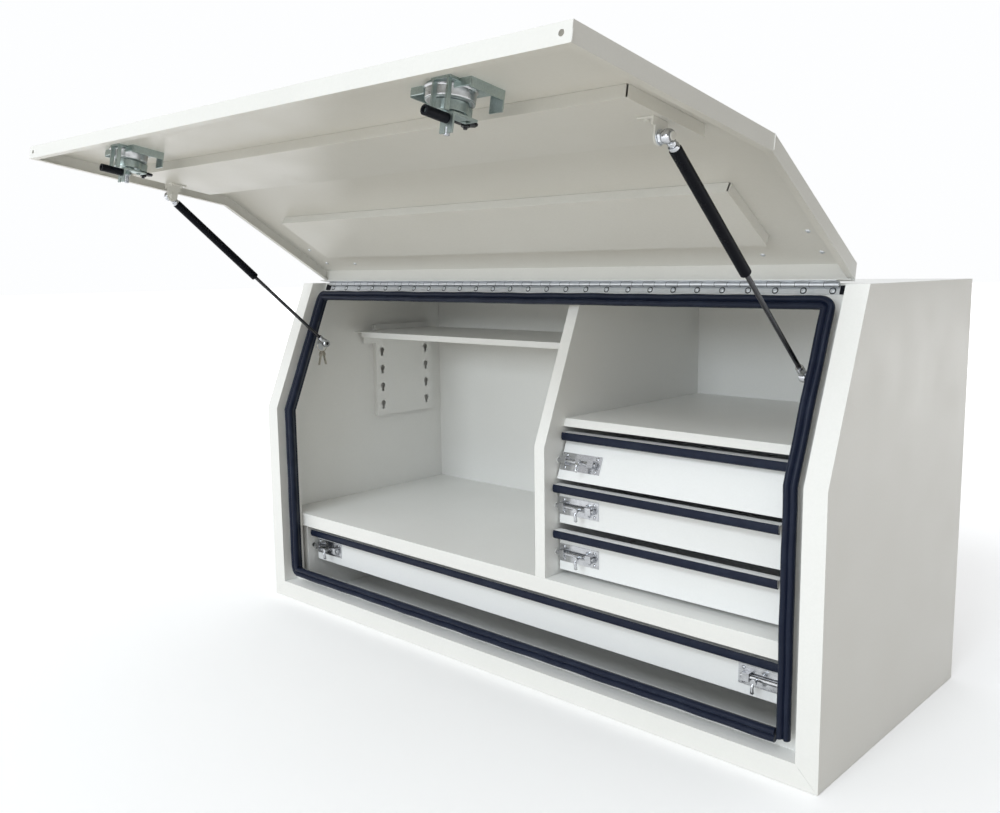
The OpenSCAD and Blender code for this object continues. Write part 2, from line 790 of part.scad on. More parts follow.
// Thick crank on the spindle with its arm, a drive pin, a threaded stud and its nut.
module latch_cam(s) color(zinc) at_latch(s) {
  difference() {
    union() {
      rod_y(0, cam_y, cam_back, 0, crank + cam_edge);
      box([-arm_half, cam_y, 0], [arm_half, cam_back, arm_len]);
      rod_y(0, cam_y, cam_back, arm_len, arm_half);
      rod_y(0, cam_y, cam_back + boss_h, 0, boss_r);
    }
    rod_y(0, cam_y - cut, cam_back, 0, spindle_r + run_gap);
  }
  rod_y(crank_at, cam_y, cam_back + drive_h, crank_at, drive_r);
  rod_y(0, cam_back + boss_h - tiny, cam_back + stud_len, 0, stud_thread_r);
  translate([0, nut_y, 0]) rotate([-90, 0, 0]) cylinder(h = nut_h, r = nut_r, $fn = 6);
}

// Sliding bolt: a yoke plate driven by the crank pin, and a slotted angle that holds the sleeve.
module latch_bolt(s) color(zinc) at_latch(s) {
  slot_x = drive_r + slot_end;
  slot_z = drive_r + slot_side;
  difference() {
    box([post_x[0], slide_y, angle_z], [post_x[1], slide_y + slide_t, yoke_top]);
    box([crank_at - slot_x, slide_y - cut, crank_at - slot_z],
      [crank + slot_x, slide_y + slide_t + cut, crank_at + slot_z]);
  }
  difference() {
    box([post_x[0], slide_y, angle_z], [post_x[1], slide_y + angle_y, angle_z + slide_t]);
    box([sleeve_x - drive_r, slide_y + angle_slot_y, angle_z - cut],
      [sleeve_x + drive_r, slide_y + angle_y + cut, angle_z + slide_t + cut]);
  }
  translate([sleeve_x, sleeve_y, sleeve_z0 + sleeve_rod_r])
    cylinder(h = sleeve_len - sleeve_rod_r + tiny, r = sleeve_rod_r);
}

// Hollow sleeve over the end of the latch bolt.
module latch_sleeve(s) color(black) at_latch(s)
  translate([sleeve_x, sleeve_y, sleeve_z0]) difference() {
    cylinder(h = sleeve_len - pass_gap / 2, r = sleeve_r);
    translate([0, 0, -cut]) cylinder(h = sleeve_len + 2 * cut, r = sleeve_rod_r + run_gap);
  }

module latch_handle_left() latch_handle(-1);
module latch_cam_left() latch_cam(-1);
module latch_bolt_left() latch_bolt(-1);
module latch_sleeve_left() latch_sleeve(-1);
module latch_handle_right() latch_handle(1);
module latch_cam_right() latch_cam(1);
module latch_bolt_right() latch_bolt(1);
module latch_sleeve_right() latch_sleeve(1);

// Lays a strut piece, drawn along +Y from the door's eye, between its two ends.
module at_strut(s) {
  place() translate([s * strut_x, eye_open[0], eye_open[1]]) rotate([strut_dir, 0, 0]) children();
}

// Gas strut tube with the eye that turns on the door's stud.
module strut_tube(s) color(black) at_strut(s) difference() {
  union() {
    rod_x(-eye_half, eye_half, 0, 0, eye_r);
    rod_y(0, rod_r + cut, neck_len, 0, neck_r);
    rod_y(0, neck_len - cut, tube_len, 0, tube_r);
  }
  rod_x(-eye_half - cut, eye_half + cut, 0, 0, rod_r + run_gap);
  rod_y(0, bore_from, tube_len + cut, 0, rod_r + run_gap);
}

// Strut rod with the eye that lies against the anchor's stud.
module strut_rod(s) color(zinc) at_strut(s) {
  rod_y(0, tube_len - rod_in, strut_len, 0, rod_r);
  rod_y(0, strut_len - socket_len, strut_len - eye_half, 0, collar_r);
  rod_x(-eye_half, eye_half, strut_len, 0, eye_r);
}

module strut_tube_left() strut_tube(-1);
module strut_rod_left() strut_rod(-1);
module strut_tube_right() strut_tube(1);
module strut_rod_right() strut_rod(1);

// Pair of angle brackets behind the recess, each with a stud for the strut's lower end.
module strut_anchors() color(zinc) place() both_ends() {
  face = recess + sheet;
  rod_x(anchor_x, anchor_leg + bracket_t, anchor[0], anchor[1], rod_r);
  on_lean() {
    box([anchor_leg, face, anchor_l - anchor_half],
      [anchor_leg + bracket_t, face + anchor_stud, anchor_l + anchor_half]);
    box([anchor_leg, face, anchor_l - anchor_half],
      [door_edge - anchor_in, face + bracket_t, anchor_l + anchor_half]);
  }
}

// Ring with two flat keys, hanging on the left strut's lower stud.
module keys() color(zinc) place() translate([-ring_x, anchor[0], anchor[1] - ring_drop]) {
  rotate([0, 90, 0]) rotate_extrude() translate([ring_in + ring_t, 0]) circle(ring_t);
  for (a = [-key_spread, key_spread])
    rotate([a, 0, 0]) translate([0, -key_t / 2, -ring_in - ring_t]) difference() {
    union() {
      rod_y(0, 0, key_t, bow_z, bow_r);
      box([-blade_half, 0, blade_z[0]], [blade_half, key_t, blade_z[1]]);
    }
    rod_y(0, -cut, key_t + cut, 0, 2 * ring_t);
  }
}

// One strip of a telescopic runner, lying on the -x side of a drawer wall at x = 0.
// part 0 is fixed to the cabinet, 1 is the middle strip and 2 is fixed to the drawer.
module runner_strip(y, z, part) {
  h = strip_h[part];
  x0 = [-runner_t, -runner_t + strip_t[0] + pass_gap, -strip_t[2]][part];
  x1 = [-runner_t + strip_t[0], -strip_t[2] - pass_gap, 0][part];
  len = runner_len - strip_less[part];
  cut_x = part == 2 ? x0 - cut : x1 - groove;
  difference() {
    box([x0, y, z - h / 2], [x1, y + len, z + h / 2]);
    box([cut_x, y - cut, z - h / 4], [cut_x + groove + cut, y + len + cut, z + h / 4]);
  }
}

module runner_pair(x0, x1, y, z, part) {
  translate([x0, 0, 0]) runner_strip(y, z, part);
  translate([x1, 0, 0]) mirror([1, 0, 0]) runner_strip(y, z, part);
}

module small_runners(z, part) {
  runner_pair(box_x0, box_x1, run_y, z + run_dz, part);
}

module wide_runners(part) {
  runner_pair(-wide_box, wide_box, wide_run_y, wide_z[0] + run_dz, part);
}

// Cabinet strips of all four pairs of runners.
module runner_outers() color(zinc) place() {
  for (z = [top_z[0], middle_z[0], low_z[0]]) {
    small_runners(z, 0);
  }
  wide_runners(0);
}

// Sheet drawer with an upright front, a forward pull lip and its folded hem.
module drawer_upright(x0, x1, bx0, bx1, y, z) {
  floor_z = z[0] + floor_up;
  rim = z[1] - rim_down;
  end = y + box_len;
  box([x0, y, z[0]], [x1, y + sheet, z[1]]);
  box([x0, y - pull, z[1] - sheet], [x1, y + sheet, z[1]]);
  box([x0, y - pull, z[1] - hem], [x1, y - pull + sheet, z[1]]);
  box([bx0, y, floor_z], [bx1, end, floor_z + sheet]);
  box([bx0, end - sheet, floor_z], [bx1, end, rim]);
  for (x = [bx0, bx1 - sheet]) {
    box([x, y, floor_z], [x + sheet, end, rim]);
  }
}

// Rubber channel clipped under the hem of a pull lip whose front is at depth y and top at height z.
module lip_trim(x0, x1, y, z) {
  foot = z - hem - touch_gap;
  near = y - touch_gap;
  rear = y + sheet + touch_gap;
  rear_top = z - sheet - touch_gap;
  near_top = z + touch_gap;
  across(x0, x1) polygon([[near - trim_t, foot - trim_t], [rear + trim_t, foot - trim_t],
    [rear + trim_t, rear_top], [rear, rear_top], [rear, foot], [near, foot], [near, near_top],
    [near - trim_t, near_top]]);
}

// Barrel bolt plate with two bored guides, on a front at depth y, running to +x from x.
module bolt_plate(x, y, z) {
  difference() {
    union() {
      box([x, y - sheet, z - plate_half], [x + bolt_len, y, z + plate_half]);
      for (g = guide_span) {
        box([x + g[0], y - bolt_off - bolt_r - guide_wall, z - guide_half], [x + g[1], y, z + guide_half]);
      }
    }
    rod_x(x - cut, x + bolt_len + cut, y - bolt_off, z, bolt_r + run_gap);
  }
}

// Sliding bolt with its finger knob; tip is the end that enters the keeper at -x.
module bolt(tip, x, y, z) {
  axis_y = y - bolt_off;
  rod_x(tip, x + bolt_len - bolt_rod_less, axis_y, z, bolt_r);
  rod_y(x + knob_at, axis_y - knob_y[0] - cut, axis_y, z, knob_r[0]);
  rod_y(x + knob_at, axis_y - knob_y[1], axis_y - knob_y[0], z, knob_r[1]);
}

// Top drawer: its front leans with the chest's front.
module drawer_top() color(steel) place() {
  z0 = top_z[0];
  z1 = top_z[1];
  floor_z = z0 + floor_up;
  rim = z1 - rim_down;
  end = front_y + box_len;
  mid_d = top_d + sheet / 2;
  across(small_x0, small_x1) polygon([[slope_y(z0, top_d), z0], [slope_y(z1, top_d), z1],
    [slope_y(z1, top_d + sheet), z1], [slope_y(z0, top_d + sheet), z0]]);
  box([small_x0, top_lip_y, z1 - sheet], [small_x1, slope_y(z1, top_d + sheet), z1]);
  box([small_x0, top_lip_y, z1 - hem], [small_x1, top_lip_y + sheet, z1]);
  box([box_x0, slope_y(floor_z, mid_d), floor_z], [box_x1, end, floor_z + sheet]);
  box([box_x0, end - sheet, floor_z], [box_x1, end, rim]);
  for (x = [box_x0, box_x1 - sheet]) {
    across(x, x + sheet) polygon([[slope_y(floor_z, mid_d), floor_z], [slope_y(rim, mid_d), rim], [end, rim],
      [end, floor_z]]);
  }
}

module trim_top() color(black) place() lip_trim(small_x0, small_x1, top_lip_y, top_z[1]);
module runner_inner_top() color(zinc) place() small_runners(top_z[0], 2);
module runner_mid_top() color(zinc) place() small_runners(top_z[0], 1);
module bolt_plate_top() color(zinc) place() on_lean() bolt_plate(small_bolt, top_d, lean_bolt_l);
module bolt_top() color(zinc) place() on_lean() bolt(small_tip, small_bolt, top_d, lean_bolt_l);

module drawer_middle() color(steel) place()
  drawer_upright(small_x0, small_x1, box_x0, box_x1, front_y, middle_z);
module trim_middle() color(black) place() lip_trim(small_x0, small_x1, front_y - pull, middle_z[1]);
module runner_inner_middle() color(zinc) place() small_runners(middle_z[0], 2);
module runner_mid_middle() color(zinc) place() small_runners(middle_z[0], 1);
module bolt_plate_middle() color(zinc) place() bolt_plate(small_bolt, front_y, middle_z[0] + bolt_dz);
module bolt_middle() color(zinc) place() bolt(small_tip, small_bolt, front_y, middle_z[0] + bolt_dz);

module drawer_low() color(steel) place()
  drawer_upright(small_x0, small_x1, box_x0, box_x1, front_y, low_z);
module trim_low() color(black) place() lip_trim(small_x0, small_x1, front_y - pull, low_z[1]);
module runner_inner_low() color(zinc) place() small_runners(low_z[0], 2);
module runner_mid_low() color(zinc) place() small_runners(low_z[0], 1);
module bolt_plate_low() color(zinc) place() bolt_plate(small_bolt, front_y, low_z[0] + bolt_dz);
module bolt_low() color(zinc) place() bolt(small_tip, small_bolt, front_y, low_z[0] + bolt_dz);

module drawer_wide() color(steel) place()
  drawer_upright(-wide_half, wide_half, -wide_box, wide_box, wide_y, wide_z);
module trim_wide() color(black) place() lip_trim(-wide_half, wide_half, wide_y - pull, wide_z[1]);
module runner_inner_wide() color(zinc) place() wide_runners(2);
module runner_mid_wide() color(zinc) place() wide_runners(1);
module bolt_plate_wide() color(zinc) place() both_ends() bolt_plate(wide_bolt, wide_y, wide_z[0] + bolt_dz);
module bolt_wide_left() color(zinc) place() bolt(wide_tip, wide_bolt, wide_y, wide_z[0] + bolt_dz);
module bolt_wide_right() color(zinc) place() mirror([1, 0, 0])
  bolt(wide_tip, wide_bolt, wide_y, wide_z[0] + bolt_dz);

shell();
side_left();
side_right();
seal();
deck();
divider();
bay_floor();
drawer_panel();
supports();
keyhole_plates();
hinge_leaf_body();
hinge_pin();
hinge_screws();
strut_anchors();
runner_outers();
door_pan();
stiffener_low();
stiffener_high();
door_brackets();
hinge_leaf_door();
latch_dishes();
latch_handle_left();
latch_cam_left();
latch_bolt_left();
latch_sleeve_left();
latch_handle_right();
latch_cam_right();
latch_bolt_right();
latch_sleeve_right();
strut_tube_left();
strut_rod_left();
strut_tube_right();
strut_rod_right();
shelf();
keys();
drawer_top();
trim_top();
runner_inner_top();
runner_mid_top();
bolt_plate_top();
bolt_top();
drawer_middle();
trim_middle();
runner_inner_middle();
runner_mid_middle();
bolt_plate_middle();
bolt_middle();
drawer_low();
trim_low();
runner_inner_low();
runner_mid_low();
bolt_plate_low();
bolt_low();
drawer_wide();
trim_wide();
runner_inner_wide();
runner_mid_wide();
bolt_plate_wide();
bolt_wide_left();
bolt_wide_right();
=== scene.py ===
# %% [markdown]
# # A sheet-steel tool chest, dressed for the camera
#
# The chest is a folded and welded steel box with one wide door that lifts on gas struts. Its solids come
# ready from the CAD model, already in place and already grouped into moving bodies. This lesson gives
# every surface a finish, swaps the plain rubber solids for real rubber sections, and adds the small
# fittings that make sheet metal look made: rivets, welds, threads and screws. Lengths are metres. The
# front faces -Y, the drawers are on the +X side, and +Z is up.

# %% Load the solids
import json
import math

import bmesh
import bpy
from mathutils import Matrix, Vector


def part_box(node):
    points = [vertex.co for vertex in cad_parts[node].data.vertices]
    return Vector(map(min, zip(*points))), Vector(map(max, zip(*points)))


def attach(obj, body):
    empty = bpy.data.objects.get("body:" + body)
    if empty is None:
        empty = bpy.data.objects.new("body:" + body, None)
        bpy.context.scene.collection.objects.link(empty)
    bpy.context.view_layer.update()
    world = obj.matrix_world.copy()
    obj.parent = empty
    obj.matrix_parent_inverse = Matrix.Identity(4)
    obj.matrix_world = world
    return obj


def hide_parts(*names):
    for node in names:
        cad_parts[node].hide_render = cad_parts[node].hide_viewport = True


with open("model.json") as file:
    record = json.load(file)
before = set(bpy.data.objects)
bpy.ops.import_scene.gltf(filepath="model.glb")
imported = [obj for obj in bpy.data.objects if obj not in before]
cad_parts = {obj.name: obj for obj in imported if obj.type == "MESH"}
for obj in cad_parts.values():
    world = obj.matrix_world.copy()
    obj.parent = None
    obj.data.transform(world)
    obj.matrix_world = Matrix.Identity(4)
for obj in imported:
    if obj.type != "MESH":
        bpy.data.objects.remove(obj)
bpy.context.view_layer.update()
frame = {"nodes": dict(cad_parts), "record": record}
nodes = frame["nodes"]

# %% [markdown]
# ## Sizes that several pieces share
#
# The front of the chest stands upright up to a kink and leans back above it. A point on that front is
# easiest to name by two numbers: how far along the front it lies, and how deep below the front skin it
# sits. `front_point` turns those two numbers into a place in space, so the seal and the door fittings can
# be drawn as if the front were flat.

# %% Front surface
MM = 0.001
HALF_DEPTH = 302.5 * MM
KINK_Z = 494 * MM
TILT = math.atan2(127, 806 - 494)


def lean_point(x, up, depth):
    """Point on the plane of the leaning part: up is the length from the kink."""
    return Vector((x, up * math.sin(TILT) + depth * math.cos(TILT) - HALF_DEPTH,
                   KINK_Z + up * math.cos(TILT) - depth * math.sin(TILT)))


def front_point(x, along, depth):
    """Point on the front: along is the height up to the kink, then the length up the leaning part."""
    if along <= KINK_Z:
        return Vector((x, depth - HALF_DEPTH, along))
    return lean_point(x, along - KINK_Z, depth)


print("front leans back by", round(math.degrees(TILT), 2), "degrees above", KINK_Z, "m")

# %% [markdown]
# ## Helpers for finishes
#
# A finish is a small graph of nodes. Noise gives a pattern, a range node spreads it to useful values, and
# a mix or a bump node turns it into colour or relief. An effect that several finishes share is built
# once, as a node group with named inputs and outputs. Each helper makes one node, so a finish reads as a
# few lines.

# %% Node helpers
def new_group(name, inputs, outputs):
    group = bpy.data.node_groups.new(name, "ShaderNodeTree")
    for label, kind in inputs:
        group.interface.new_socket(label, in_out="INPUT", socket_type=kind)
    for label in outputs:
        group.interface.new_socket(label, in_out="OUTPUT", socket_type="NodeSocketFloat")
    return group, group.nodes.new("NodeGroupInput").outputs, group.nodes.new("NodeGroupOutput").inputs


def place_group(tree, group, values):
    node = tree.nodes.new("ShaderNodeGroup")
    node.node_tree = group
    for label, value in values.items():
        node.inputs[label].default_value = value
    return node.outputs


def noise(tree, coords, scale, detail=3.0, rough=0.5):
    node = tree.nodes.new("ShaderNodeTexNoise")
    if isinstance(scale, (int, float)):
        node.inputs["Scale"].default_value = scale
    else:
        tree.links.new(scale, node.inputs["Scale"])
    node.inputs["Detail"].default_value = detail
    node.inputs["Roughness"].default_value = rough
    tree.links.new(coords, node.inputs["Vector"])
    return node.outputs["Fac"]


def coordinates(tree):
    return tree.nodes.new("ShaderNodeTexCoord").outputs["Object"]


def spread(tree, value, low, high, to_low, to_high):
    node = tree.nodes.new("ShaderNodeMapRange")
    tree.links.new(value, node.inputs["Value"])
    for label, number in zip(("From Min", "From Max", "To Min", "To Max"), (low, high, to_low, to_high)):
        node.inputs[label].default_value = number
    return node.outputs["Result"]


def maths(tree, kind, a, b):
    node = tree.nodes.new("ShaderNodeMath")
    node.operation = kind
    for socket, value in zip(node.inputs, (a, b)):
        if isinstance(value, (int, float)):
            socket.default_value = value
        else:
            tree.links.new(value, socket)
    return node.outputs["Value"]


def mix_colour(tree, factor, a, b):
    node = tree.nodes.new("ShaderNodeMix")
    node.data_type = "RGBA"
    sockets = [s for s in node.inputs if s.type == "RGBA"]
    tree.links.new(factor, node.inputs["Factor"])
    for socket, colour in zip(sockets, (a, b)):
        if isinstance(colour, tuple):
            socket.default_value = (*colour, 1)
        else:
            tree.links.new(colour, socket)
    return [s for s in node.outputs if s.type == "RGBA"][0]


def bump(tree, height, strength, distance):
    node = tree.nodes.new("ShaderNodeBump")
    node.inputs["Strength"].default_value = strength
    node.inputs["Distance"].default_value = distance
    tree.links.new(height, node.inputs["Height"])
    return node


def new_finish(name):
    finish = bpy.data.materials.new(name)
    finish.use_nodes = True
    tree = finish.node_tree
    return finish, tree, tree.nodes["Principled BSDF"]


print("node helpers ready: groups, noise, spread, maths, mix_colour, bump, new_finish")

# %% [markdown]
# ## Powder coat
#
# The steel is covered with baked powder. It is an off-white with a satin gloss, and close up it has the
# fine dimples called orange peel. Large flat sheets are never quite flat either: they ripple a little,
# which makes soft reflections wander. The colour drifts in faint clouds. One shared group gives all these
# patterns, and each paint brings its own two tones and its own gloss. A glossier door was tried, and some
# patches of it then stood out as flakes, so all paints stay at satin.

# %% Paint
SKIN_SCALES = {
    "Peel Scale": 520, "Ripple Scale": 2.3, "Cloud Scale": 3.1, "Grain Scale": 240, "Gloss Scale": 11}
SKIN_DETAIL = {"Height": 2.0, "Ripple": 1.0, "Cloud": 4.0, "Grain": 2.0, "Gloss": 3.0}
powder, powder_in, powder_out = new_group(
    "powder_skin", [(label, "NodeSocketFloat") for label in SKIN_SCALES], list(SKIN_DETAIL))
powder_at = coordinates(powder)
for scale, (label, detail) in zip(SKIN_SCALES, SKIN_DETAIL.items()):
    powder.links.new(noise(powder, powder_at, powder_in[scale], detail), powder_out[label])


def powder_coat(name, pale, shade, gloss):
    finish, tree, shader = new_finish(name)
    skin = place_group(tree, powder, SKIN_SCALES)
    cloud = spread(tree, skin["Cloud"], 0.35, 0.7, 0, 1)
    grain = spread(tree, skin["Grain"], 0.3, 0.7, 0, 0.3)
    colour = mix_colour(tree, cloud, pale, shade)
    colour = mix_colour(tree, grain, colour, tuple(c * 0.95 for c in shade))
    tree.links.new(colour, shader.inputs["Base Color"])
    rough = spread(tree, skin["Gloss"], 0.3, 0.7, gloss - 0.05, gloss + 0.07)
    tree.links.new(rough, shader.inputs["Roughness"])
    ripple = bump(tree, skin["Ripple"], 0.35, 0.004)
    dimple = bump(tree, skin["Height"], 0.12, 0.0004)
    tree.links.new(ripple.outputs["Normal"], dimple.inputs["Normal"])
    tree.links.new(dimple.outputs["Normal"], shader.inputs["Normal"])
    shader.inputs["Specular IOR Level"].default_value = 0.45
    return finish


body_paint = powder_coat("body_powder_coat", (0.90, 0.90, 0.88), (0.875, 0.875, 0.85), 0.34)
# The door's two tones are a darker, warmer copy of the body's white. This is painted shade for the open
# door's underside, which faces down, away from the lights.
door_paint = powder_coat("door_coat_painted_shade", (0.84, 0.84, 0.815), (0.81, 0.81, 0.78), 0.34)
drawer_paint = powder_coat("drawer_powder_coat", (0.89, 0.90, 0.90), (0.865, 0.875, 0.87), 0.36)
print("paints made:", body_paint.name, door_paint.name, drawer_paint.name)

# %% [markdown]
# ## Plated steel
#
# Hinge, runners and latches are zinc plated: a soft grey metal whose gloss varies in cloudy patches. The
# latch castings have the greenish cast of a passivated coat. The drawer bolts are plated brighter and
# thinner, and show fine rubbing lines along the way they slide. Clouds and lines come from one shared
# group, and each metal gives it the size of its clouds and the way its lines are stretched.

# %% Metals
plating, plating_in, plating_out = new_group(
    "plating_clouds", [("Streak", "NodeSocketVector"), ("Cloud Scale", "NodeSocketFloat")],
    ["Lines", "Mottle"])
plating_at = coordinates(plating)
stretch = plating.nodes.new("ShaderNodeMapping")
plating.links.new(plating_at, stretch.inputs["Vector"])
plating.links.new(plating_in["Streak"], stretch.inputs["Scale"])
lines = noise(plating, stretch.outputs["Vector"], 60, 4.0, 0.65)
cloud = noise(plating, plating_at, plating_in["Cloud Scale"], 4.0, 0.6)
plating.links.new(lines, plating_out["Lines"])
plating.links.new(maths(plating, "MULTIPLY", maths(plating, "ADD", lines, cloud), 0.5), plating_out["Mottle"])


def plated(name, light, dark, gloss, cloud_scale, streak):
    finish, tree, shader = new_finish(name)
    coat = place_group(tree, plating, {"Streak": streak, "Cloud Scale": cloud_scale})
    patches = spread(tree, coat["Mottle"], 0.35, 0.65, 0, 1)
    tree.links.new(mix_colour(tree, patches, light, dark), shader.inputs["Base Color"])
    rough = spread(tree, coat["Mottle"], 0.3, 0.7, gloss - 0.07, gloss + 0.1)
    tree.links.new(rough, shader.inputs["Roughness"])
    tree.links.new(bump(tree, coat["Lines"], 0.15, 0.0003).outputs["Normal"], shader.inputs["Normal"])
    shader.inputs["Metallic"].default_value = 1.0
    return finish


zinc = plated("zinc_plate", (0.78, 0.80, 0.82), (0.64, 0.66, 0.68), 0.42, 40, (1, 12, 12))
latch_zinc = plated("passivated_casting", (0.46, 0.53, 0.51), (0.33, 0.39, 0.38), 0.36, 30, (6, 6, 6))
bright = plated("bright_plate", (0.64, 0.65, 0.67), (0.42, 0.43, 0.45), 0.16, 55, (1, 14, 14))
cup_zinc = plated("spun_cup", (0.58, 0.585, 0.59), (0.44, 0.445, 0.45), 0.30, 35, (2, 2, 2))
rod_steel = plated("dark_ground_rod", (0.085, 0.085, 0.09), (0.05, 0.05, 0.055), 0.22, 400, (1, 1, 1))
nickel = plated("nickel_key", (0.70, 0.66, 0.58), (0.50, 0.46, 0.40), 0.26, 120, (4, 4, 4))
print("metals made:", [m.name for m in (zinc, latch_zinc, bright, cup_zinc, rod_steel, nickel)])

# %% [markdown]
# ## Rubber, black lacquer and black plastic
#
# The seal and the drawer trims are extruded rubber: almost black with a blue cast, dull, with faint drag
# lines and a dusty bloom. Strut tubes are black lacquer, smooth and glossier. The latch sleeves are
# moulded plastic with a fine grain. Dust, gloss and grain come from one shared group, with a grain size
# for each finish.

# %% Dark finishes
dusting, dusting_in, dusting_out = new_group(
    "dust_and_grain", [("Grain Scale", "NodeSocketFloat")], ["Dust", "Gloss", "Grain"])
dusting_at = coordinates(dusting)
dust = noise(dusting, dusting_at, 26, 6.0, 0.7)
dusting.links.new(spread(dusting, dust, 0.48, 0.72, 0, 1), dusting_out["Dust"])
dusting.links.new(noise(dusting, dusting_at, 45, 3.0), dusting_out["Gloss"])
dusting.links.new(noise(dusting, dusting_at, dusting_in["Grain Scale"], 3.0), dusting_out["Grain"])


def dark_finish(name, base, bloom, gloss, grain_scale, grain_depth, shine):
    finish, tree, shader = new_finish(name)
    skin = place_group(tree, dusting, {"Grain Scale": grain_scale})
    tree.links.new(mix_colour(tree, skin["Dust"], base, bloom), shader.inputs["Base Color"])
    rough = spread(tree, skin["Gloss"], 0.3, 0.7, gloss - 0.06, gloss + 0.08)
    tree.links.new(rough, shader.inputs["Roughness"])
    tree.links.new(bump(tree, skin["Grain"], 0.3, grain_depth).outputs["Normal"], shader.inputs["Normal"])
    shader.inputs["Specular IOR Level"].default_value = shine
    return finish


rubber = dark_finish(
    "extruded_rubber", (0.0065, 0.011, 0.028), (0.014, 0.021, 0.042), 0.38, 420, 0.0003, 0.20)
lacquer = dark_finish(
    "black_lacquer", (0.0015, 0.002, 0.005), (0.004, 0.005, 0.009), 0.30, 700, 0.0001, 0.10)
sleeve_black = dark_finish(
    "black_sleeve", (0.004, 0.005, 0.009), (0.010, 0.011, 0.016), 0.38, 900, 0.0003, 0.14)
# A near-black finish for painted shade. It colours the rings that stand for the shadow in the hinge's knuckle
# gaps and round its screw heads.
gap_shade_black = dark_finish(
    "hinge_painted_shade", (0.012, 0.013, 0.015), (0.030, 0.030, 0.032), 0.6, 900, 0.0002, 0.2)
print("dark finishes made:", [m.name for m in (rubber, lacquer, sleeve_black, gap_shade_black)])

# %% [markdown]
# ## Give every solid its finish
#
# Each solid names the material slot it belongs to. Folded sheet also gets a small rounding on its edges,
# because a press brake never leaves a knife edge and the thin highlight along a fold is what makes it
# read as metal.

# %% Finishes and rounded folds
FINISHES = {
    "body_paint": body_paint, "door_paint": door_paint, "drawer_paint": drawer_paint, "zinc_plate": zinc,
    "latch_zinc": latch_zinc, "bolt_chrome": bright, "rubber": rubber, "strut_black": lacquer,
    "rod_steel": rod_steel, "black_plastic": sleeve_black, "key_brass": nickel,
}
SHARP = {"keyhole_plates"}
ROUNDED = {"body_paint": 0.9, "door_paint": 0.9, "drawer_paint": 0.7, "latch_zinc": 0.7, "bolt_chrome": 0.4}


def round_edges(piece, width):
    weld = piece.modifiers.new("weld", "WELD")
    weld.merge_threshold = 0.00001
    plane = piece.modifiers.new("flat", "DECIMATE")
    plane.decimate_type = "DISSOLVE"
    plane.angle_limit = math.radians(0.3)
    fold = piece.modifiers.new("fold", "BEVEL")
    fold.width = width * MM
    fold.segments = 2
    fold.limit_method = "ANGLE"
    fold.angle_limit = math.radians(38)
    fold.use_clamp_overlap = True
    piece.modifiers.new("shading", "WEIGHTED_NORMAL").keep_sharp = False


slot_of = {entry["node"]: entry["material_slot"] for entry in frame["record"]["subparts"]}
for name, solid in nodes.items():
    slot = slot_of[name]
    solid.data.materials.clear()
    solid.data.materials.append(latch_zinc if name == "latch_dishes" else FINISHES[slot])
    if slot in ROUNDED and name not in SHARP:
        round_edges(solid, ROUNDED[slot])
print("finished solids:", len(slot_of))

# %% [markdown]
# ## Helpers for swept pieces
#
# A *sweep* carries one outline along a path, as an extruder does with rubber. The outline is set down at
# many stations, and faces join each ring of points to the next. `add_piece` puts the result in the scene,
# gives it smooth faces with crisp edges, and ties it to the body it is fixed to, so that it moves with
# it.

# %% Sweep helpers
def add_piece(name, verts, faces, finish, body, slot, crisp=35):
    mesh = bpy.data.meshes.new(name)
    mesh.from_pydata([tuple(v) for v in verts], [], faces)
    work = bmesh.new()
    work.from_mesh(mesh)
    bmesh.ops.recalc_face_normals(work, faces=work.faces)
    work.to_mesh(mesh)
    work.free()
    mesh.shade_smooth()
    mesh.set_sharp_from_angle(angle=math.radians(crisp))
    piece = bpy.data.objects.new(name, mesh)
    bpy.context.scene.collection.objects.link(piece)
    mesh.materials.append(finish)
    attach(piece, body)
    return piece


def sweep(rings):
    """Joins rings of points, each to the next, and closes both ends."""
    count = len(rings[0])
    verts = [v for ring in rings for v in ring]
    faces = []
    for i in range(len(rings) - 1):
        for j in range(count):
            k = (j + 1) % count
            faces.append((i * count + j, i * count + k, (i + 1) * count + k, (i + 1) * count + j))
    faces.append(tuple(range(count - 1, -1, -1)))
    faces.append(tuple(range((len(rings) - 1) * count, len(rings) * count)))
    return verts, faces


print("helpers ready: add_piece, sweep")

# %% [markdown]
# ## Door seal
#
# The seal is one length of rubber pushed over the lip, with two round ridges that the door squeezes. It
# starts at the lower right corner, runs left along the sill, up the left side over the kink, across the
# header and down the right side, where its end stands against its start. The outline is given across the
# lip and in depth below the front skin. The path is a list of stations, each with a place on the front
# and the angle that points outward there, and the sweep joins them.

# %% Seal
SEAL_OUTLINE = [
    (-4.6, 33), (-5.2, 27), (-9.4, 23), (-11.6, 19), (-12, 15), (-10.8, 11), (-8.4, 8.8), (-5.8, 8.2),
    (-3.2, 9.2), (-1.4, 12), (0, 13.2), (1.4, 12), (3.2, 9.2), (5.8, 8.2), (8.4, 8.8), (10.8, 11), (12, 15),
    (11.6, 19), (9.4, 23), (5.2, 27), (4.6, 33), (1.3, 33), (1.3, 19.4), (-1.3, 19.4), (-1.3, 33)]
LIP_X = 680 * MM
LIP_FOOT = 70 * MM
LIP_TOP = 311.1 * MM
HALF_LIP = 0.8 * MM
SEAL_X = LIP_X + HALF_LIP
SEAL_FOOT = LIP_FOOT - HALF_LIP
SEAL_TOP = KINK_Z + LIP_TOP - HALF_LIP
SEAL_START = SEAL_X - 14 * MM
CORNER = 12.6 * MM


def corner_arc(cx, cz, start, stop, steps=8):
    turns = [start + (stop - start) * i / steps for i in range(steps + 1)]
    return [(cx + CORNER * math.cos(math.radians(turn)), cz + CORNER * math.sin(math.radians(turn)), turn)
            for turn in turns]


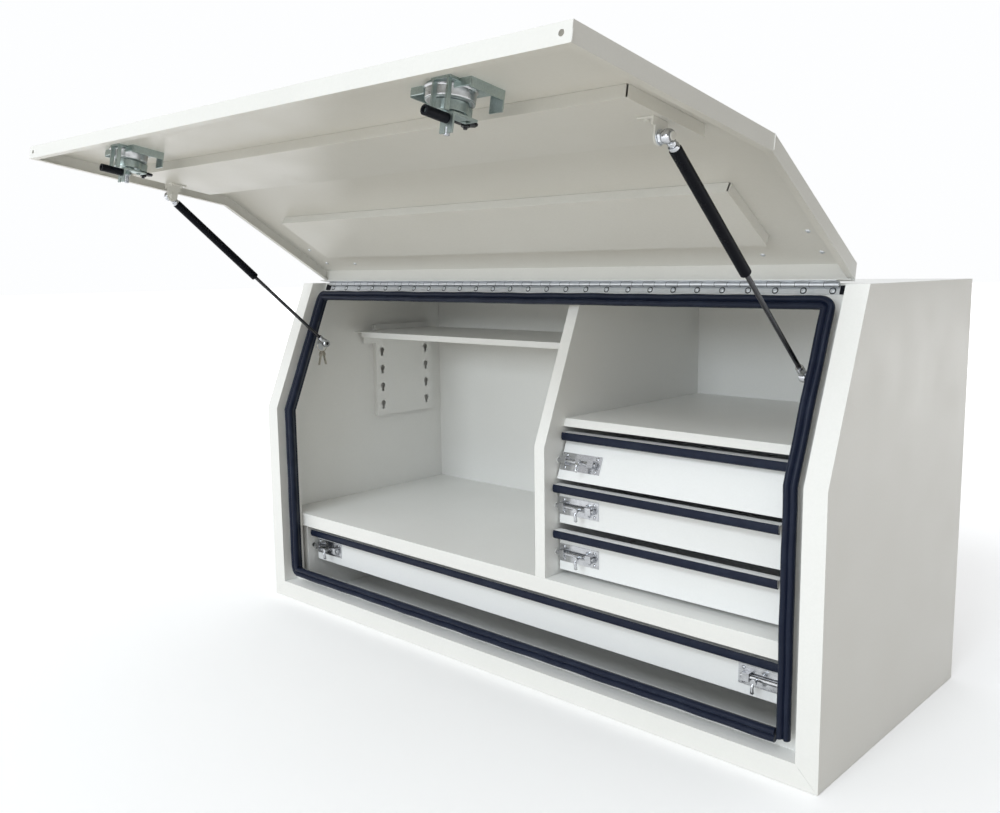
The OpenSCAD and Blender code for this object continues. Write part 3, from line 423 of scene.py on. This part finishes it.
def seal_track():
    """Stations as (x, along, outward angle in the front's own plane)."""
    track = []
    right, left = SEAL_X - CORNER, -SEAL_X + CORNER
    run = 90
    track += [(SEAL_START + (left - SEAL_START) * i / run, SEAL_FOOT, 270) for i in range(run + 1)]
    track += corner_arc(left, SEAL_FOOT + CORNER, 270, 180)[1:]
    rise = [SEAL_FOOT + CORNER + (KINK_Z - SEAL_FOOT - CORNER) * i / 24 for i in range(1, 25)]
    climb = [KINK_Z + (SEAL_TOP - CORNER - KINK_Z) * i / 18 for i in range(1, 19)]
    track += [(-SEAL_X, z, 180) for z in rise + climb]
    track += corner_arc(left, SEAL_TOP - CORNER, 180, 90)[1:]
    track += [(left + (right - left) * i / run, SEAL_TOP, 90) for i in range(1, run + 1)]
    track += corner_arc(right, SEAL_TOP - CORNER, 90, 0)[1:]
    track += [(SEAL_X, z, 0) for z in reversed(climb[:-1])] + [(SEAL_X, z, 0) for z in reversed(rise)]
    track += [(SEAL_X, SEAL_FOOT - 2 * MM + CORNER * i / 4, 0) for i in (4, 2, 0)]
    return track


def seal_ring(x, along, angle, number):
    out_x, out_z = math.cos(math.radians(angle)), math.sin(math.radians(angle))
    sag = 0.55 * math.sin(number * 0.83) + 0.45 * math.sin(number * 0.31 + 1.0)
    ring = []
    for u, depth in SEAL_OUTLINE:
        wave = sag * MM * max(0.0, (24 - depth) / 16)
        px = x + out_x * (u * MM + wave)
        pl = along + out_z * (u * MM + wave)
        if abs(along - KINK_Z) < 1e-9:
            drop = depth * MM * math.tan(TILT / 2)
            ring.append(Vector((px, depth * MM - HALF_DEPTH, KINK_Z - drop)))
        else:
            ring.append(front_point(px, pl, depth * MM))
    return ring


stations = seal_track()
seal_verts, seal_faces = sweep([seal_ring(*station, i) for i, station in enumerate(stations)])
seal = add_piece("door_seal", seal_verts, seal_faces, rubber, "chest", "rubber", crisp=50)
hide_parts("seal")
print("seal stations:", len(stations))

# %% [markdown]
# ## Rubber trims on the drawers
#
# Each drawer is pulled by a lip folded out of its front. A rubber channel is pushed over the lip's hem so
# that fingers meet no raw edge. The channel is extruded, so one outline is swept along the drawer; its
# corners are rolled and its face is gently rounded.

# %% Drawer trims
TRIM_OUTLINE = [
    (-0.3, 0.3), (-0.3, -14.3), (1.9, -14.3), (1.9, -1.9), (3.1, -1.9), (3.6, -2.5), (3.6, -15.2),
    (3.1, -15.9), (2.2, -16.2), (0.2, -16.2)]
TRIM_OUTLINE += [(-0.2 - 2.6 * math.sin(math.pi * i / 14) ** 0.6, -16.0 + 16.2 * i / 14)
                 for i in range(1, 14)]
TRIM_INSET = 0.3 * MM
TRIM_FACE = 2.0 * MM
for drawer in ("top", "middle", "low", "wide"):
    low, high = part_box("trim_" + drawer)
    face_y = low.y + TRIM_FACE
    top_z = high.z - TRIM_INSET
    steps = 60 if drawer == "wide" else 30
    rings = []
    for i in range(steps + 1):
        x = low.x + TRIM_INSET + (high.x - low.x - 2 * TRIM_INSET) * i / steps
        wave = 0.12 * MM * math.sin(i * 1.7)
        rings.append([Vector((x, face_y + y * MM + (wave if y < -1 else 0), top_z + z * MM))
                      for y, z in TRIM_OUTLINE])
    trim = add_piece("lip_trim_" + drawer, *sweep(rings), rubber, "drawer_" + drawer, "rubber", crisp=50)
    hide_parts("trim_" + drawer)
    print("trim on", drawer, "drawer, length", round(high.x - low.x, 3), "m")

# %% [markdown]
# ## Working on the open door
#
# Fittings on the door are easiest to place with the door shut, when its lower part stands upright.
# `door_point` takes such a place in millimetres and swings it up to where the open door carries it.
# `door_way` does the same for a direction, and `door_lean` starts from the leaning part above the kink.

# %% Door places
HINGE_Y = 162.7445 * MM
HINGE_Z = 803.631 * MM
SWING = math.radians(100)


def door_way(dx, dy, dz):
    return Vector((dx, dy * math.cos(SWING) + dz * math.sin(SWING),
                   dz * math.cos(SWING) - dy * math.sin(SWING)))


def door_point(x, depth, z):
    way = door_way(0, depth * MM - HINGE_Y, z * MM - HINGE_Z)
    return Vector((x * MM, HINGE_Y + way.y - HALF_DEPTH, HINGE_Z + way.z))


def door_lean(x, up, depth):
    place = front_point(x * MM, KINK_Z + up * MM, depth * MM)
    return door_point(x, (place.y + HALF_DEPTH) / MM, place.z / MM)


INWARD = door_way(0, 1, 0)
low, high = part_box("door_pan")
DOOR_HALF = high.x / MM
print("open door: inside faces", [round(c, 2) for c in INWARD], "half width", round(DOOR_HALF, 1), "mm")

# %% [markdown]
# ## Helpers for turned pieces
#
# A *turning* spins one outline about an axis, as a lathe does with a rivet or a stud. A closed outline
# gives a washer, a cup or a collar. A screw head is a turning with a fixed outline, and a nut is one with
# only six steps. Small pieces that belong together are joined into one mesh.

# %% Turning helpers
def turning(origin, axis, outline, steps=20):
    axis = Vector(axis).normalized()
    side = axis.orthogonal().normalized()
    other = axis.cross(side)
    origin = Vector(origin)
    rings = []
    for radius, height in outline:
        ring = []
        for i in range(steps):
            a = 2 * math.pi * i / steps
            ring.append(origin + axis * height + (side * math.cos(a) + other * math.sin(a)) * radius)
        rings.append(ring)
    return sweep(rings)


def ring_turning(origin, axis, outline, steps=24):
    """Turning of a closed outline: a washer, a cup or a collar with a hole through it."""
    verts, faces = turning(origin, axis, list(outline) + [outline[0]], steps)
    return verts, faces[:-2]


def pan_head(origin, axis, radius, height):
    """Round screw head with a sunk drive."""
    profile = [(1, 0), (1, 0.3), (0.94, 0.62), (0.78, 0.87), (0.52, 1), (0.44, 1), (0.38, 0.45), (0.02, 0.4)]
    return turning(origin, axis, [(radius * r, height * h) for r, h in profile], 16)


def hexagon(origin, axis, radius, height):
    """Nut or bolt head: six flats, with the corners turned off at both ends."""
    return turning(origin, axis, [(radius * 0.9, 0), (radius, height * 0.12), (radius, height * 0.88),
                                  (radius * 0.9, height)], 6)


def join(parts):
    """Several meshes as one."""
    verts, faces = [], []
    for part_verts, part_faces in parts:
        start = len(verts)
        verts.extend(part_verts)
        faces.extend(tuple(i + start for i in face) for face in part_faces)
    return verts, faces


print("helpers ready: turning, ring_turning, pan_head, hexagon, join")

# %% [markdown]
# ## Door latches
#
# Each latch has a spun cup that sinks into the door, a pressed mounting plate with screws in its corners,
# and a crank that a threaded stud and nut clamp to the spindle. A black rubber stop is bolted under the
# end of the crank. The cup is drawn as a closed outline turned about the spindle. The thread is a turning
# too, with a saw-tooth outline, which reads as a thread at this size without a true helix. Outlines are
# pairs of radius and depth below the door's skin, in millimetres.

# %% Latch outlines
LATCHES = {"left": -490.0, "right": 418.0}
LATCH_Z = 146.0
CUP = [(34.1, 5.1), (36.5, 5.1), (36.9, 5.8), (35.4, 6.8), (34.6, 8.6), (34.5, 19.4), (34.0, 21.1),
       (32.8, 22.2), (31.2, 22.55), (27.0, 22.55), (27.0, 22.15), (31.0, 22.1), (32.6, 21.6), (34.1, 19.0)]
THREAD = [(4.1, 49.2)] + [(4.05 + 0.5 * (i % 2), 49.4 + 0.62 * i) for i in range(26)]
THREAD += [(3.2, 65.8), (0.3, 66.2)]
WASHER = [(4.6, 41.15), (10.2, 41.15), (10.5, 41.4), (10.2, 41.85), (4.6, 41.85)]
STUB = [(3, 0), (3, 2.6), (2.4, 3.2), (0.3, 3.3)]


def scaled(outline):
    """Outline in millimetres, given in metres."""
    return [(r * MM, h * MM) for r, h in outline]


def plate_edge(x0, x1, z, y0, y1, thick):
    """Upturned edge of the mounting plate, with rolled ends."""
    rings = []
    for x in (x0, x0 + 1.2, x1 - 1.2, x1):
        short = 1.6 if x in (x0, x1) else 0
        half = thick / 2
        rings.append([door_point(x, y, LATCH_Z + z + dz) for y, dz in (
            (y0, -half), (y1 - 0.9 - short, -half), (y1 - short, -half + 0.7), (y1 - short, half - 0.7),
            (y1 - 0.9 - short, half), (y0, half))])
    return sweep(rings)


print("latch outlines ready:", len(CUP), "points in the cup,", len(THREAD), "in the thread")

# %% [markdown]
# ## Latches put together
#
# Cup, plate edges and screws stay with the door. Thread, washer, stop and the stop's bolt turn with the
# handle. The plate's edge is two strips, one on each side of the cup, so that nothing crosses the hollow
# that the handle turns in. The stop's bolt sits low enough to pass under the deck's front fold when the
# door shuts.

# %% Latch fittings
EDGE_RUNS = ((-55, -29), (29, 60))
EDGE_DROP = -22.2
PLATE_FACE = 5.0
PLATE_SCREWS = [(-46, -13), (-46, 31), (50, -13), (48, 30), (-20, 35.5)]
STOP = [(-11, 17), (11, 17), (12.5, 24), (12, 38), (8, 48), (0, 51.5), (-8, 48), (-12, 38), (-12.5, 24)]
STOP_MIDDLE = 34
STOP_LAYERS = ((37.15, 0.93), (37.6, 0.99), (40.0, 1.0), (41.2, 0.97), (41.7, 0.9))
STOP_BOLT_UP = 32.5
STOP_BOLT_HEAD, STOP_BOLT_END = 41.6, 45.9


def latch_stop(cx):
    """Rubber stop in layers of depth, each the outline grown or shrunk about its middle."""
    return sweep([[door_point(cx + dx * grow, depth, LATCH_Z + STOP_MIDDLE + (dz - STOP_MIDDLE) * grow)
                   for dx, dz in STOP] for depth, grow in STOP_LAYERS])


for side, cx in LATCHES.items():
    axis_at = door_point(cx, 0, LATCH_Z)
    cup = ring_turning(axis_at, INWARD, scaled(CUP), 64)
    add_piece("latch_cup_" + side, *cup, cup_zinc, "door", "zinc_plate")
    edges = [plate_edge(cx + x0, cx + x1, EDGE_DROP, PLATE_FACE, 13.0, 2.4) for x0, x1 in EDGE_RUNS]
    add_piece("latch_plate_edge_" + side, *join(edges), latch_zinc, "door", "zinc_plate")
    heads = [pan_head(door_point(cx + dx, PLATE_FACE + 0.05, LATCH_Z + dz), INWARD, 4.6 * MM, 2.6 * MM)
             for dx, dz in PLATE_SCREWS]
    add_piece("latch_screws_" + side, *join(heads), bright, "door", "zinc_plate")
    turn = "latch_turn_" + side
    thread = turning(axis_at, INWARD, scaled(THREAD), 20)
    add_piece("latch_thread_" + side, *thread, bright, turn, "latch_zinc", 60)
    washer = ring_turning(axis_at, INWARD, scaled(WASHER))
    add_piece("latch_washer_" + side, *washer, bright, turn, "latch_zinc")
    add_piece("latch_stop_" + side, *latch_stop(cx), sleeve_black, turn, "black_plastic")
    bolt_at = door_point(cx, 0, LATCH_Z + STOP_BOLT_UP)
    head = join([hexagon(bolt_at + INWARD * STOP_BOLT_HEAD * MM, INWARD, 6.2 * MM, 4.4 * MM),
                 turning(bolt_at + INWARD * STOP_BOLT_END * MM, INWARD, scaled(STUB))])
    add_piece("latch_stop_bolt_" + side, *head, rod_steel, turn, "latch_zinc")
print("latches fitted:", list(LATCHES))

# %% [markdown]
# ## Gas strut ends
#
# A gas strut hangs on ball sockets. Each socket is bright plated steel screwed onto the black tube, and
# the stud that it turns on is held to its bracket by a hexagon nut. The socket is a ring turned about the
# stud, so the stud still passes through it, and the neck is turned about the strut's own line.

# %% Strut sockets
BRACKET_DEPTH, BRACKET_UP = 44, 320
ANCHOR_BACK, ANCHOR_UP = 115.918, 654.112
STRUT_X, NUT_X, RIVET_X = 650, 637.15, 622
EYE = door_point(0, BRACKET_DEPTH, BRACKET_UP)
ANCHOR = Vector((0, ANCHOR_BACK * MM - HALF_DEPTH, ANCHOR_UP * MM))
STRUT_WAY = (ANCHOR - EYE).normalized()
SOCKET = [(4.4, -6.15), (8.6, -6.15), (9.7, -4.4), (10.3, -1.8), (10.3, 1.8), (9.7, 4.4), (8.6, 6.15),
          (4.4, 6.15)]
NECK = [(6.0, 8.6), (6.6, 9.4), (6.6, 12.0), (5.6, 12.8), (5.6, 15.6), (7.6, 16.2), (7.9, 17.2), (7.9, 22.2),
        (7.4, 23.2), (5.3, 23.6)]
FOOT_NECK = [(6.4, 8.4), (6.9, 9.4), (6.9, 25.0), (6.2, 26.6), (4.1, 27.0)]
NUT_WASHER = [(6.1, 0), (10.4, 0), (10.7, 0.5), (10.4, 1.1), (6.1, 1.1)]
WASHER_THICK = 1.1


def strut_end(place, way, neck):
    """Ring about the stud, with a neck along the strut."""
    return join([ring_turning(place, (1, 0, 0), scaled(SOCKET), 28), turning(place, way, scaled(neck), 24)])


for side, sign in (("left", -1), ("right", 1)):
    aside = Vector((sign, 0, 0))
    socket = strut_end(EYE + aside * STRUT_X * MM, STRUT_WAY, NECK)
    add_piece("strut_socket_" + side, *socket, bright, "strut_tube_" + side, "strut_black")
    foot = strut_end(ANCHOR + aside * STRUT_X * MM, -STRUT_WAY, FOOT_NECK)
    add_piece("strut_foot_" + side, *foot, bright, "strut_rod_" + side, "rod_steel")
    nut_at = EYE + aside * NUT_X * MM
    nut = join([ring_turning(nut_at, aside, scaled(NUT_WASHER)),
                hexagon(nut_at + aside * WASHER_THICK * MM, aside, 9.4 * MM, 5.0 * MM)])
    add_piece("strut_nut_" + side, *nut, zinc, "door", "zinc_plate")
    rivets = [pan_head(door_point(sign * RIVET_X, 22.65, BRACKET_UP + dz), INWARD, 4.2 * MM, 2.2 * MM)
              for dz in (-11, 11)]
    add_piece("bracket_rivets_" + side, *join(rivets), door_paint, "door", "door_paint")
print("strut length between eyes", round((ANCHOR - EYE).length, 3), "m")

# %% [markdown]
# ## Hinge screws and knuckle gaps
#
# A continuous hinge is one long pin inside dozens of rolled knuckles that belong to the two leaves in
# turn. What the eye picks out is the row of screw heads along the leaf and the dark gap at the end of
# every knuckle. The heads are turned one by one along the leaf. The gaps are too thin to throw a shadow
# that shows, so thin near-black rings set in them are painted shade, and a thin near-black ring round
# each head is painted shadow under the head. The rings hold their place as the door turns. A small
# black pad stands at each end of the hinge.

# %% Hinge
KNUCKLES = 53
HINGE_SCREWS = 27
SCREW_RADIUS = 3.4 * MM
SCREW_DROP = 9 * MM
LEAF_DEPTH = 38.75
# The two ring outlines below are painted shade. One rings each screw head as its shadow, and the other fills
# each knuckle gap as the gap's shadow.
SCREW_SHADE = [(4.3, 0), (6.0, 0), (6.0, 0.14), (4.3, 0.14)]
KNUCKLE_GAP_SHADE = [(3.2, -0.35), (4.62, -0.35), (4.62, 0.35), (3.2, 0.35)]
PAD = [(0, 39.95), (0, 37.2), (0.7, 36.5), (14.3, 36.5), (15, 37.2), (15, 39.95)]
PAD_HIGH, PAD_LONG, PAD_CLEAR = 15, 16, 1.2
low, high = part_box("hinge_screws")
first, last = low.x + SCREW_RADIUS, high.x - SCREW_RADIUS
HINGE_UP = math.sin(TILT) * HINGE_Y + math.cos(TILT) * (HINGE_Z - KINK_Z)
OUTWARD = Vector((0, -math.cos(TILT), math.sin(TILT)))
heads, rings = [], []
for i in range(HINGE_SCREWS):
    x = first + (last - first) * i / (HINGE_SCREWS - 1)
    along = KINK_Z + HINGE_UP - SCREW_DROP
    heads.append(pan_head(front_point(x, along, LEAF_DEPTH * MM), OUTWARD, 4.5 * MM, 1.7 * MM))
    rings.append(ring_turning(front_point(x, along, (LEAF_DEPTH + 0.03) * MM), OUTWARD,
                              scaled(SCREW_SHADE), 20))
screws = add_piece("hinge_screw_heads", *join(heads), zinc, "chest", "zinc_plate")
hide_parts("hinge_screws")
low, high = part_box("hinge_pin")
for i in range(1, KNUCKLES):
    x = low.x + (high.x - low.x) * i / KNUCKLES
    rings.append(ring_turning((x, HINGE_Y - HALF_DEPTH, HINGE_Z), (1, 0, 0), scaled(KNUCKLE_GAP_SHADE), 16))
# These near-black rings are painted shade at the knuckle gaps and painted shadow round the screw heads.
add_piece("hinge_shade_rings", *join(rings), gap_shade_black, "chest", "zinc_plate")
pads = []
end_x = high.x / MM + PAD_CLEAR
for sign in (-1, 1):
    pads.append(sweep([[front_point(sign * (end_x + dx) * MM, KINK_Z + HINGE_UP + (up - PAD_HIGH) * MM,
                                    depth * MM) for up, depth in PAD] for dx in (0, PAD_LONG)]))
add_piece("hinge_end_pads", *join(pads), sleeve_black, "chest", "rubber")
print("hinge:", HINGE_SCREWS, "screws", round((last - first) / (HINGE_SCREWS - 1) / MM, 1), "mm apart")

# %% [markdown]
# ## Barrel bolts on the drawers
#
# Each drawer is kept shut by a small barrel bolt. Four screws hold its plate, and the sliding bolt
# carries a turned-down finger lever. The screws stay with the drawer and the lever rides on the bolt that
# it slides.

# %% Bolt screws and levers
LEVER = [(0, -11, 0, 3.2), (0.6, -15, -1.5, 3.2), (1.2, -18, -5, 3.1), (1.6, -18.6, -11, 3.0),
         (1.8, -17.6, -17, 3.3), (1.9, -17.2, -20, 3.6), (1.9, -17.0, -22, 1.4)]
LEVER_PLACE = 57
PLATE_BACK = -4.92
BOLT_UP, BOLT_BACK = 37, 6.5
DRAWER_FOOT = {"top": 419, "middle": 327, "low": 230, "wide": 93}
TOP_DEPTH, SMALL_DEPTH, WIDE_DEPTH = 100, 85, 76
ALONG = Vector((1, 0, 0))


def bolt_fittings(name, body, x0, way, place):
    """x0 is the plate's outer end, way is +1 or -1 along X, place(x, up, out) is a point about the bolt."""
    out = (place(0, 0, 1) - place(0, 0, 0)).normalized()
    down = (place(0, -1, 0) - place(0, 0, 0)).normalized()
    heads = [pan_head(place(x0 + way * dx, dz, PLATE_BACK), out, 3.5 * MM, 1.7 * MM)
             for dx in (12, 88) for dz in (-12.6, 12.6)]
    add_piece("bolt_screws_" + name, *join(heads), bright, body, "bolt_chrome")
    rings = []
    for dx, dy, dz, size in LEVER:
        lean = down if dz < -4 else (out + down * max(0.0, -dz / 3)).normalized()
        other = lean.cross(ALONG).normalized()
        middle = place(x0 + way * (LEVER_PLACE + dx), dz, -dy)
        rings.append([middle + (ALONG * math.cos(a) + other * math.sin(a)) * size * MM
                      for a in [math.tau * k / 12 for k in range(12)]])
    add_piece("bolt_lever_" + name, *sweep(rings), bright, "bolt_" + name, "bolt_chrome", 60)


def upright_bolt(drawer, depth):
    height = DRAWER_FOOT[drawer] + BOLT_UP
    return lambda x, up, out: front_point(x * MM, (height + up) * MM, (depth - BOLT_BACK - out) * MM)


def leaning_bolt(drawer, depth):
    height = DRAWER_FOOT[drawer] + BOLT_UP - KINK_Z / MM
    rise = (height + (depth - BOLT_BACK) * math.sin(TILT)) / math.cos(TILT)
    return lambda x, up, out: lean_point(x * MM, (rise + up) * MM, (depth - BOLT_BACK - out) * MM)


small_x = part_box("bolt_plate_middle")[0].x / MM
bolt_fittings("top", "drawer_top", small_x, 1, leaning_bolt("top", TOP_DEPTH))
for drawer in ("middle", "low"):
    bolt_fittings(drawer, "drawer_" + drawer, small_x, 1, upright_bolt(drawer, SMALL_DEPTH))
low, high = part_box("bolt_plate_wide")
for name, end, way in (("wide_left", low.x, 1), ("wide_right", high.x, -1)):
    bolt_fittings(name, "drawer_wide", end / MM, way, upright_bolt("wide", WIDE_DEPTH))
print("barrel bolts fitted: 5")

# %% [markdown]
# ## Welds and rivets
#
# Sheet is folded first and welded where the folds meet. The joints are ground but never quite vanish: a
# short bead stands at the kink of each end of the door, another closes each lower corner, and the mitres
# of the front flange show as fine ridges under the paint. A few blind rivets sit on the door's inside
# near the hinge.

# %% Welds and rivets
def bead(path, radius, wobble=0.25):
    """Lumpy round run along a path, as a weld lays down."""
    rings = []
    for i, place in enumerate(path):
        way = path[min(i + 1, len(path) - 1)] - path[max(i - 1, 0)]
        side = way.orthogonal().normalized()
        other = way.normalized().cross(side)
        size = radius * (1 + wobble * math.sin(i * 2.1) + 0.5 * wobble * math.sin(i * 0.9 + 1))
        if i in (0, len(path) - 1):
            size *= 0.35
        rings.append([place + (side * math.cos(a) + other * math.sin(a)) * size
                      for a in [math.tau * k / 10 for k in range(10)]])
    return sweep(rings)


MITRE_OUT, MITRE_IN = (746, 4), (713, 37)
RIVET = [(4.4, 0), (4.4, 0.4), (3.6, 1.3), (2.2, 1.7), (1.5, 1.7), (1.3, 0.5), (0.2, 0.4)]
RIVET_PLACES = ((662.9, 237.7), (555.2, 304.5), (662.9, 299.3))
DOOR_FOOT = 43.2
SKIN = 1.6
runs = []
for sign in (-1, 1):
    at_kink = [door_lean(sign * (DOOR_HALF + 0.2), 0, 1.0 + 1.5 * i) for i in range(16)]
    at_foot = [door_point(sign * (DOOR_HALF - 0.6), 10 + 1.2 * i, DOOR_FOOT) for i in range(13)]
    runs += [bead(at_kink, 1.1 * MM), bead(at_foot, 1.4 * MM)]
add_piece("door_welds", *join(runs), door_paint, "door", "door_paint", 80)
runs = []
for sign in (-1, 1):
    path = []
    for i in range(25):
        x, z = [a + (b - a) * i / 24 for a, b in zip(MITRE_OUT, MITRE_IN)]
        path.append(front_point(sign * x * MM, z * MM, 0.35 * MM))
    runs.append(bead(path, 0.75 * MM, 0.15))
add_piece("flange_mitres", *join(runs), body_paint, "chest", "body_paint", 80)
heads = []
for sign in (-1, 1):
    for x, up in RIVET_PLACES:
        place = door_lean(sign * x, up, SKIN)
        out = door_lean(sign * x, up, SKIN + 1.0) - place
        heads.append(turning(place, out, scaled(RIVET), 16))
add_piece("door_rivets", *join(heads), zinc, "door", "door_paint")
print("welds and rivets added:", len(heads), "rivets on the door")

# %% [markdown]
# ## Floor
#
# The chest stands on a pale floor without an edge. Where the camera sees it, it is nearly white and glows
# a little more with distance, so that it runs into the white behind it. To the light that bounces off it,
# it is a warm grey, which gives the underside of the open door its warm tone.

# %% Floor
floor_mesh = bpy.data.meshes.new("floor")
FLOOR_REACH = 40
floor_corners = [(x * FLOOR_REACH, y * FLOOR_REACH, 0) for x, y in ((-1, -1), (1, -1), (1, 1), (-1, 1))]
floor_mesh.from_pydata(floor_corners, [], [(0, 1, 2, 3)])
floor = bpy.data.objects.new("floor", floor_mesh)
floor.location.z = -0.0005
bpy.context.scene.collection.objects.link(floor)
floor_finish, floor_tree, floor_shader = new_finish("pale_floor")
floor_ray = floor_tree.nodes.new("ShaderNodeLightPath").outputs
seen = maths(floor_tree, "ADD", floor_ray["Is Camera Ray"], floor_ray["Is Glossy Ray"])
floor_at = coordinates(floor_tree)
FLOOR_WARM, FLOOR_PALE, FLOOR_SHADE = (0.60, 0.56, 0.485), (0.93, 0.93, 0.93), (0.90, 0.90, 0.90)
floor_pale = mix_colour(floor_tree, noise(floor_tree, floor_at, 1.5, 3.0), FLOOR_PALE, FLOOR_SHADE)
floor_tone = mix_colour(floor_tree, seen, FLOOR_WARM, floor_pale)
floor_tree.links.new(floor_tone, floor_shader.inputs["Base Color"])
reach = floor_tree.nodes.new("ShaderNodeVectorMath")
reach.operation = "LENGTH"
floor_tree.links.new(floor_at, reach.inputs[0])
glow = spread(floor_tree, reach.outputs["Value"], 1.2, 6.0, 0.14, 0.9)
floor_tree.links.new(maths(floor_tree, "MULTIPLY", glow, seen), floor_shader.inputs["Emission Strength"])
floor_shader.inputs["Emission Color"].default_value = (1, 1, 1, 1)
floor_shader.inputs["Roughness"].default_value = 0.8
floor_shader.inputs["Specular IOR Level"].default_value = 0.1
floor_mesh.materials.append(floor_finish)
print("floor laid, reaching", FLOOR_REACH, "m each way")

# %% [markdown]
# ## Room
#
# The room lights the chest mostly from above, a little more from the front and from the left than from
# the right, which leaves the right-hand side in gentle shade. Plated metal needs something to mirror, so
# reflections see the room in light and dark bars. The camera sees plain white.

# %% Room
world = bpy.data.worlds.new("studio")
world.use_nodes = True
bpy.context.scene.world = world
sky = world.node_tree
way = sky.nodes.new("ShaderNodeSeparateXYZ")
sky.links.new(sky.nodes.new("ShaderNodeTexCoord").outputs["Generated"], way.inputs["Vector"])
background = sky.nodes["Background"]
background.inputs["Color"].default_value = (0.985, 0.992, 1.0, 1)
room = maths(sky, "ADD", spread(sky, way.outputs["Z"], 0.05, 0.9, 0.15, 0.88),
             maths(sky, "ADD", spread(sky, way.outputs["X"], 0.6, -0.6, -0.14, 0.22),
                   spread(sky, way.outputs["Y"], 0.2, -0.8, 0.0, 0.36)))
sky_ray = sky.nodes.new("ShaderNodeLightPath")
bars = maths(sky, "SINE", maths(sky, "MULTIPLY", way.outputs["X"], 11.0), 0.0)
bars = spread(sky, bars, -0.6, 0.6, 0.3, 1.9)
shine = maths(sky, "ADD", maths(sky, "MULTIPLY", sky_ray.outputs["Is Glossy Ray"], bars),
              maths(sky, "SUBTRACT", 1.0, sky_ray.outputs["Is Glossy Ray"]))
room = maths(sky, "MULTIPLY", room, shine)
hidden = maths(sky, "SUBTRACT", 1.0, sky_ray.outputs["Is Camera Ray"])
sky.links.new(maths(sky, "ADD", maths(sky, "MULTIPLY", room, hidden), sky_ray.outputs["Is Camera Ray"]),
              background.inputs["Strength"])
print("room made:", world.name)

# %% [markdown]
# ## Soft lights
#
# Two broad lights stand far in front. The low one shines into the chest, and the high one lights the
# front from above. Far away and broad, they light near and far corners alike and leave soft shadows.

# %% Soft lights
SOFT_COLOUR = (0.86, 0.94, 1.0)


def soft_light(name, place, aim, width, height, power):
    lamp = bpy.data.lights.new(name, "AREA")
    lamp.shape = "RECTANGLE"
    lamp.size, lamp.size_y = width, height
    lamp.energy = power
    lamp.color = SOFT_COLOUR
    holder = bpy.data.objects.new(name, lamp)
    bpy.context.scene.collection.objects.link(holder)
    holder.location = place
    holder.rotation_euler = (Vector(aim) - Vector(place)).to_track_quat("-Z", "Y").to_euler()


soft_light("low_softbox", (1.4, -18.5, 5.0), (0, 0, 0.45), 7.7, 4.2, 780)
soft_light("high_softbox", (1.6, -15.0, 12.0), (0, 0, 0.30), 8.4, 3.5, 820)
print("soft lights set: low and high")

# %% [markdown]
# ## Camera
#
# The camera stands in front and to the right, at about the height of the chest, with a moderately wide
# lens, close enough for the near corner to loom. Its place, direction and lens were worked out by least
# squares from corners of the chest seen in a photograph.

# %% Camera
CAMERA_PLACE = (1.3802, -1.6954, 0.8378)
LENS, SENSOR = 35.07, 36
camera_data = bpy.data.cameras.new("camera")
camera = bpy.data.objects.new("camera", camera_data)
bpy.context.scene.collection.objects.link(camera)
look = Vector((-0.67899, 0.72060, -0.14041)).normalized()
right = Vector((0.72906, 0.68432, -0.01356)).normalized()
up = right.cross(look)
facing = Matrix((right, up, -look)).transposed().to_4x4()
camera.matrix_world = Matrix.Translation(CAMERA_PLACE) @ facing
camera_data.sensor_fit = "HORIZONTAL"
camera_data.sensor_width = SENSOR
camera_data.lens = LENS
bpy.context.scene.camera = camera
bpy.context.scene.view_settings.view_transform = "Standard"
print("camera set, lens", LENS, "mm")
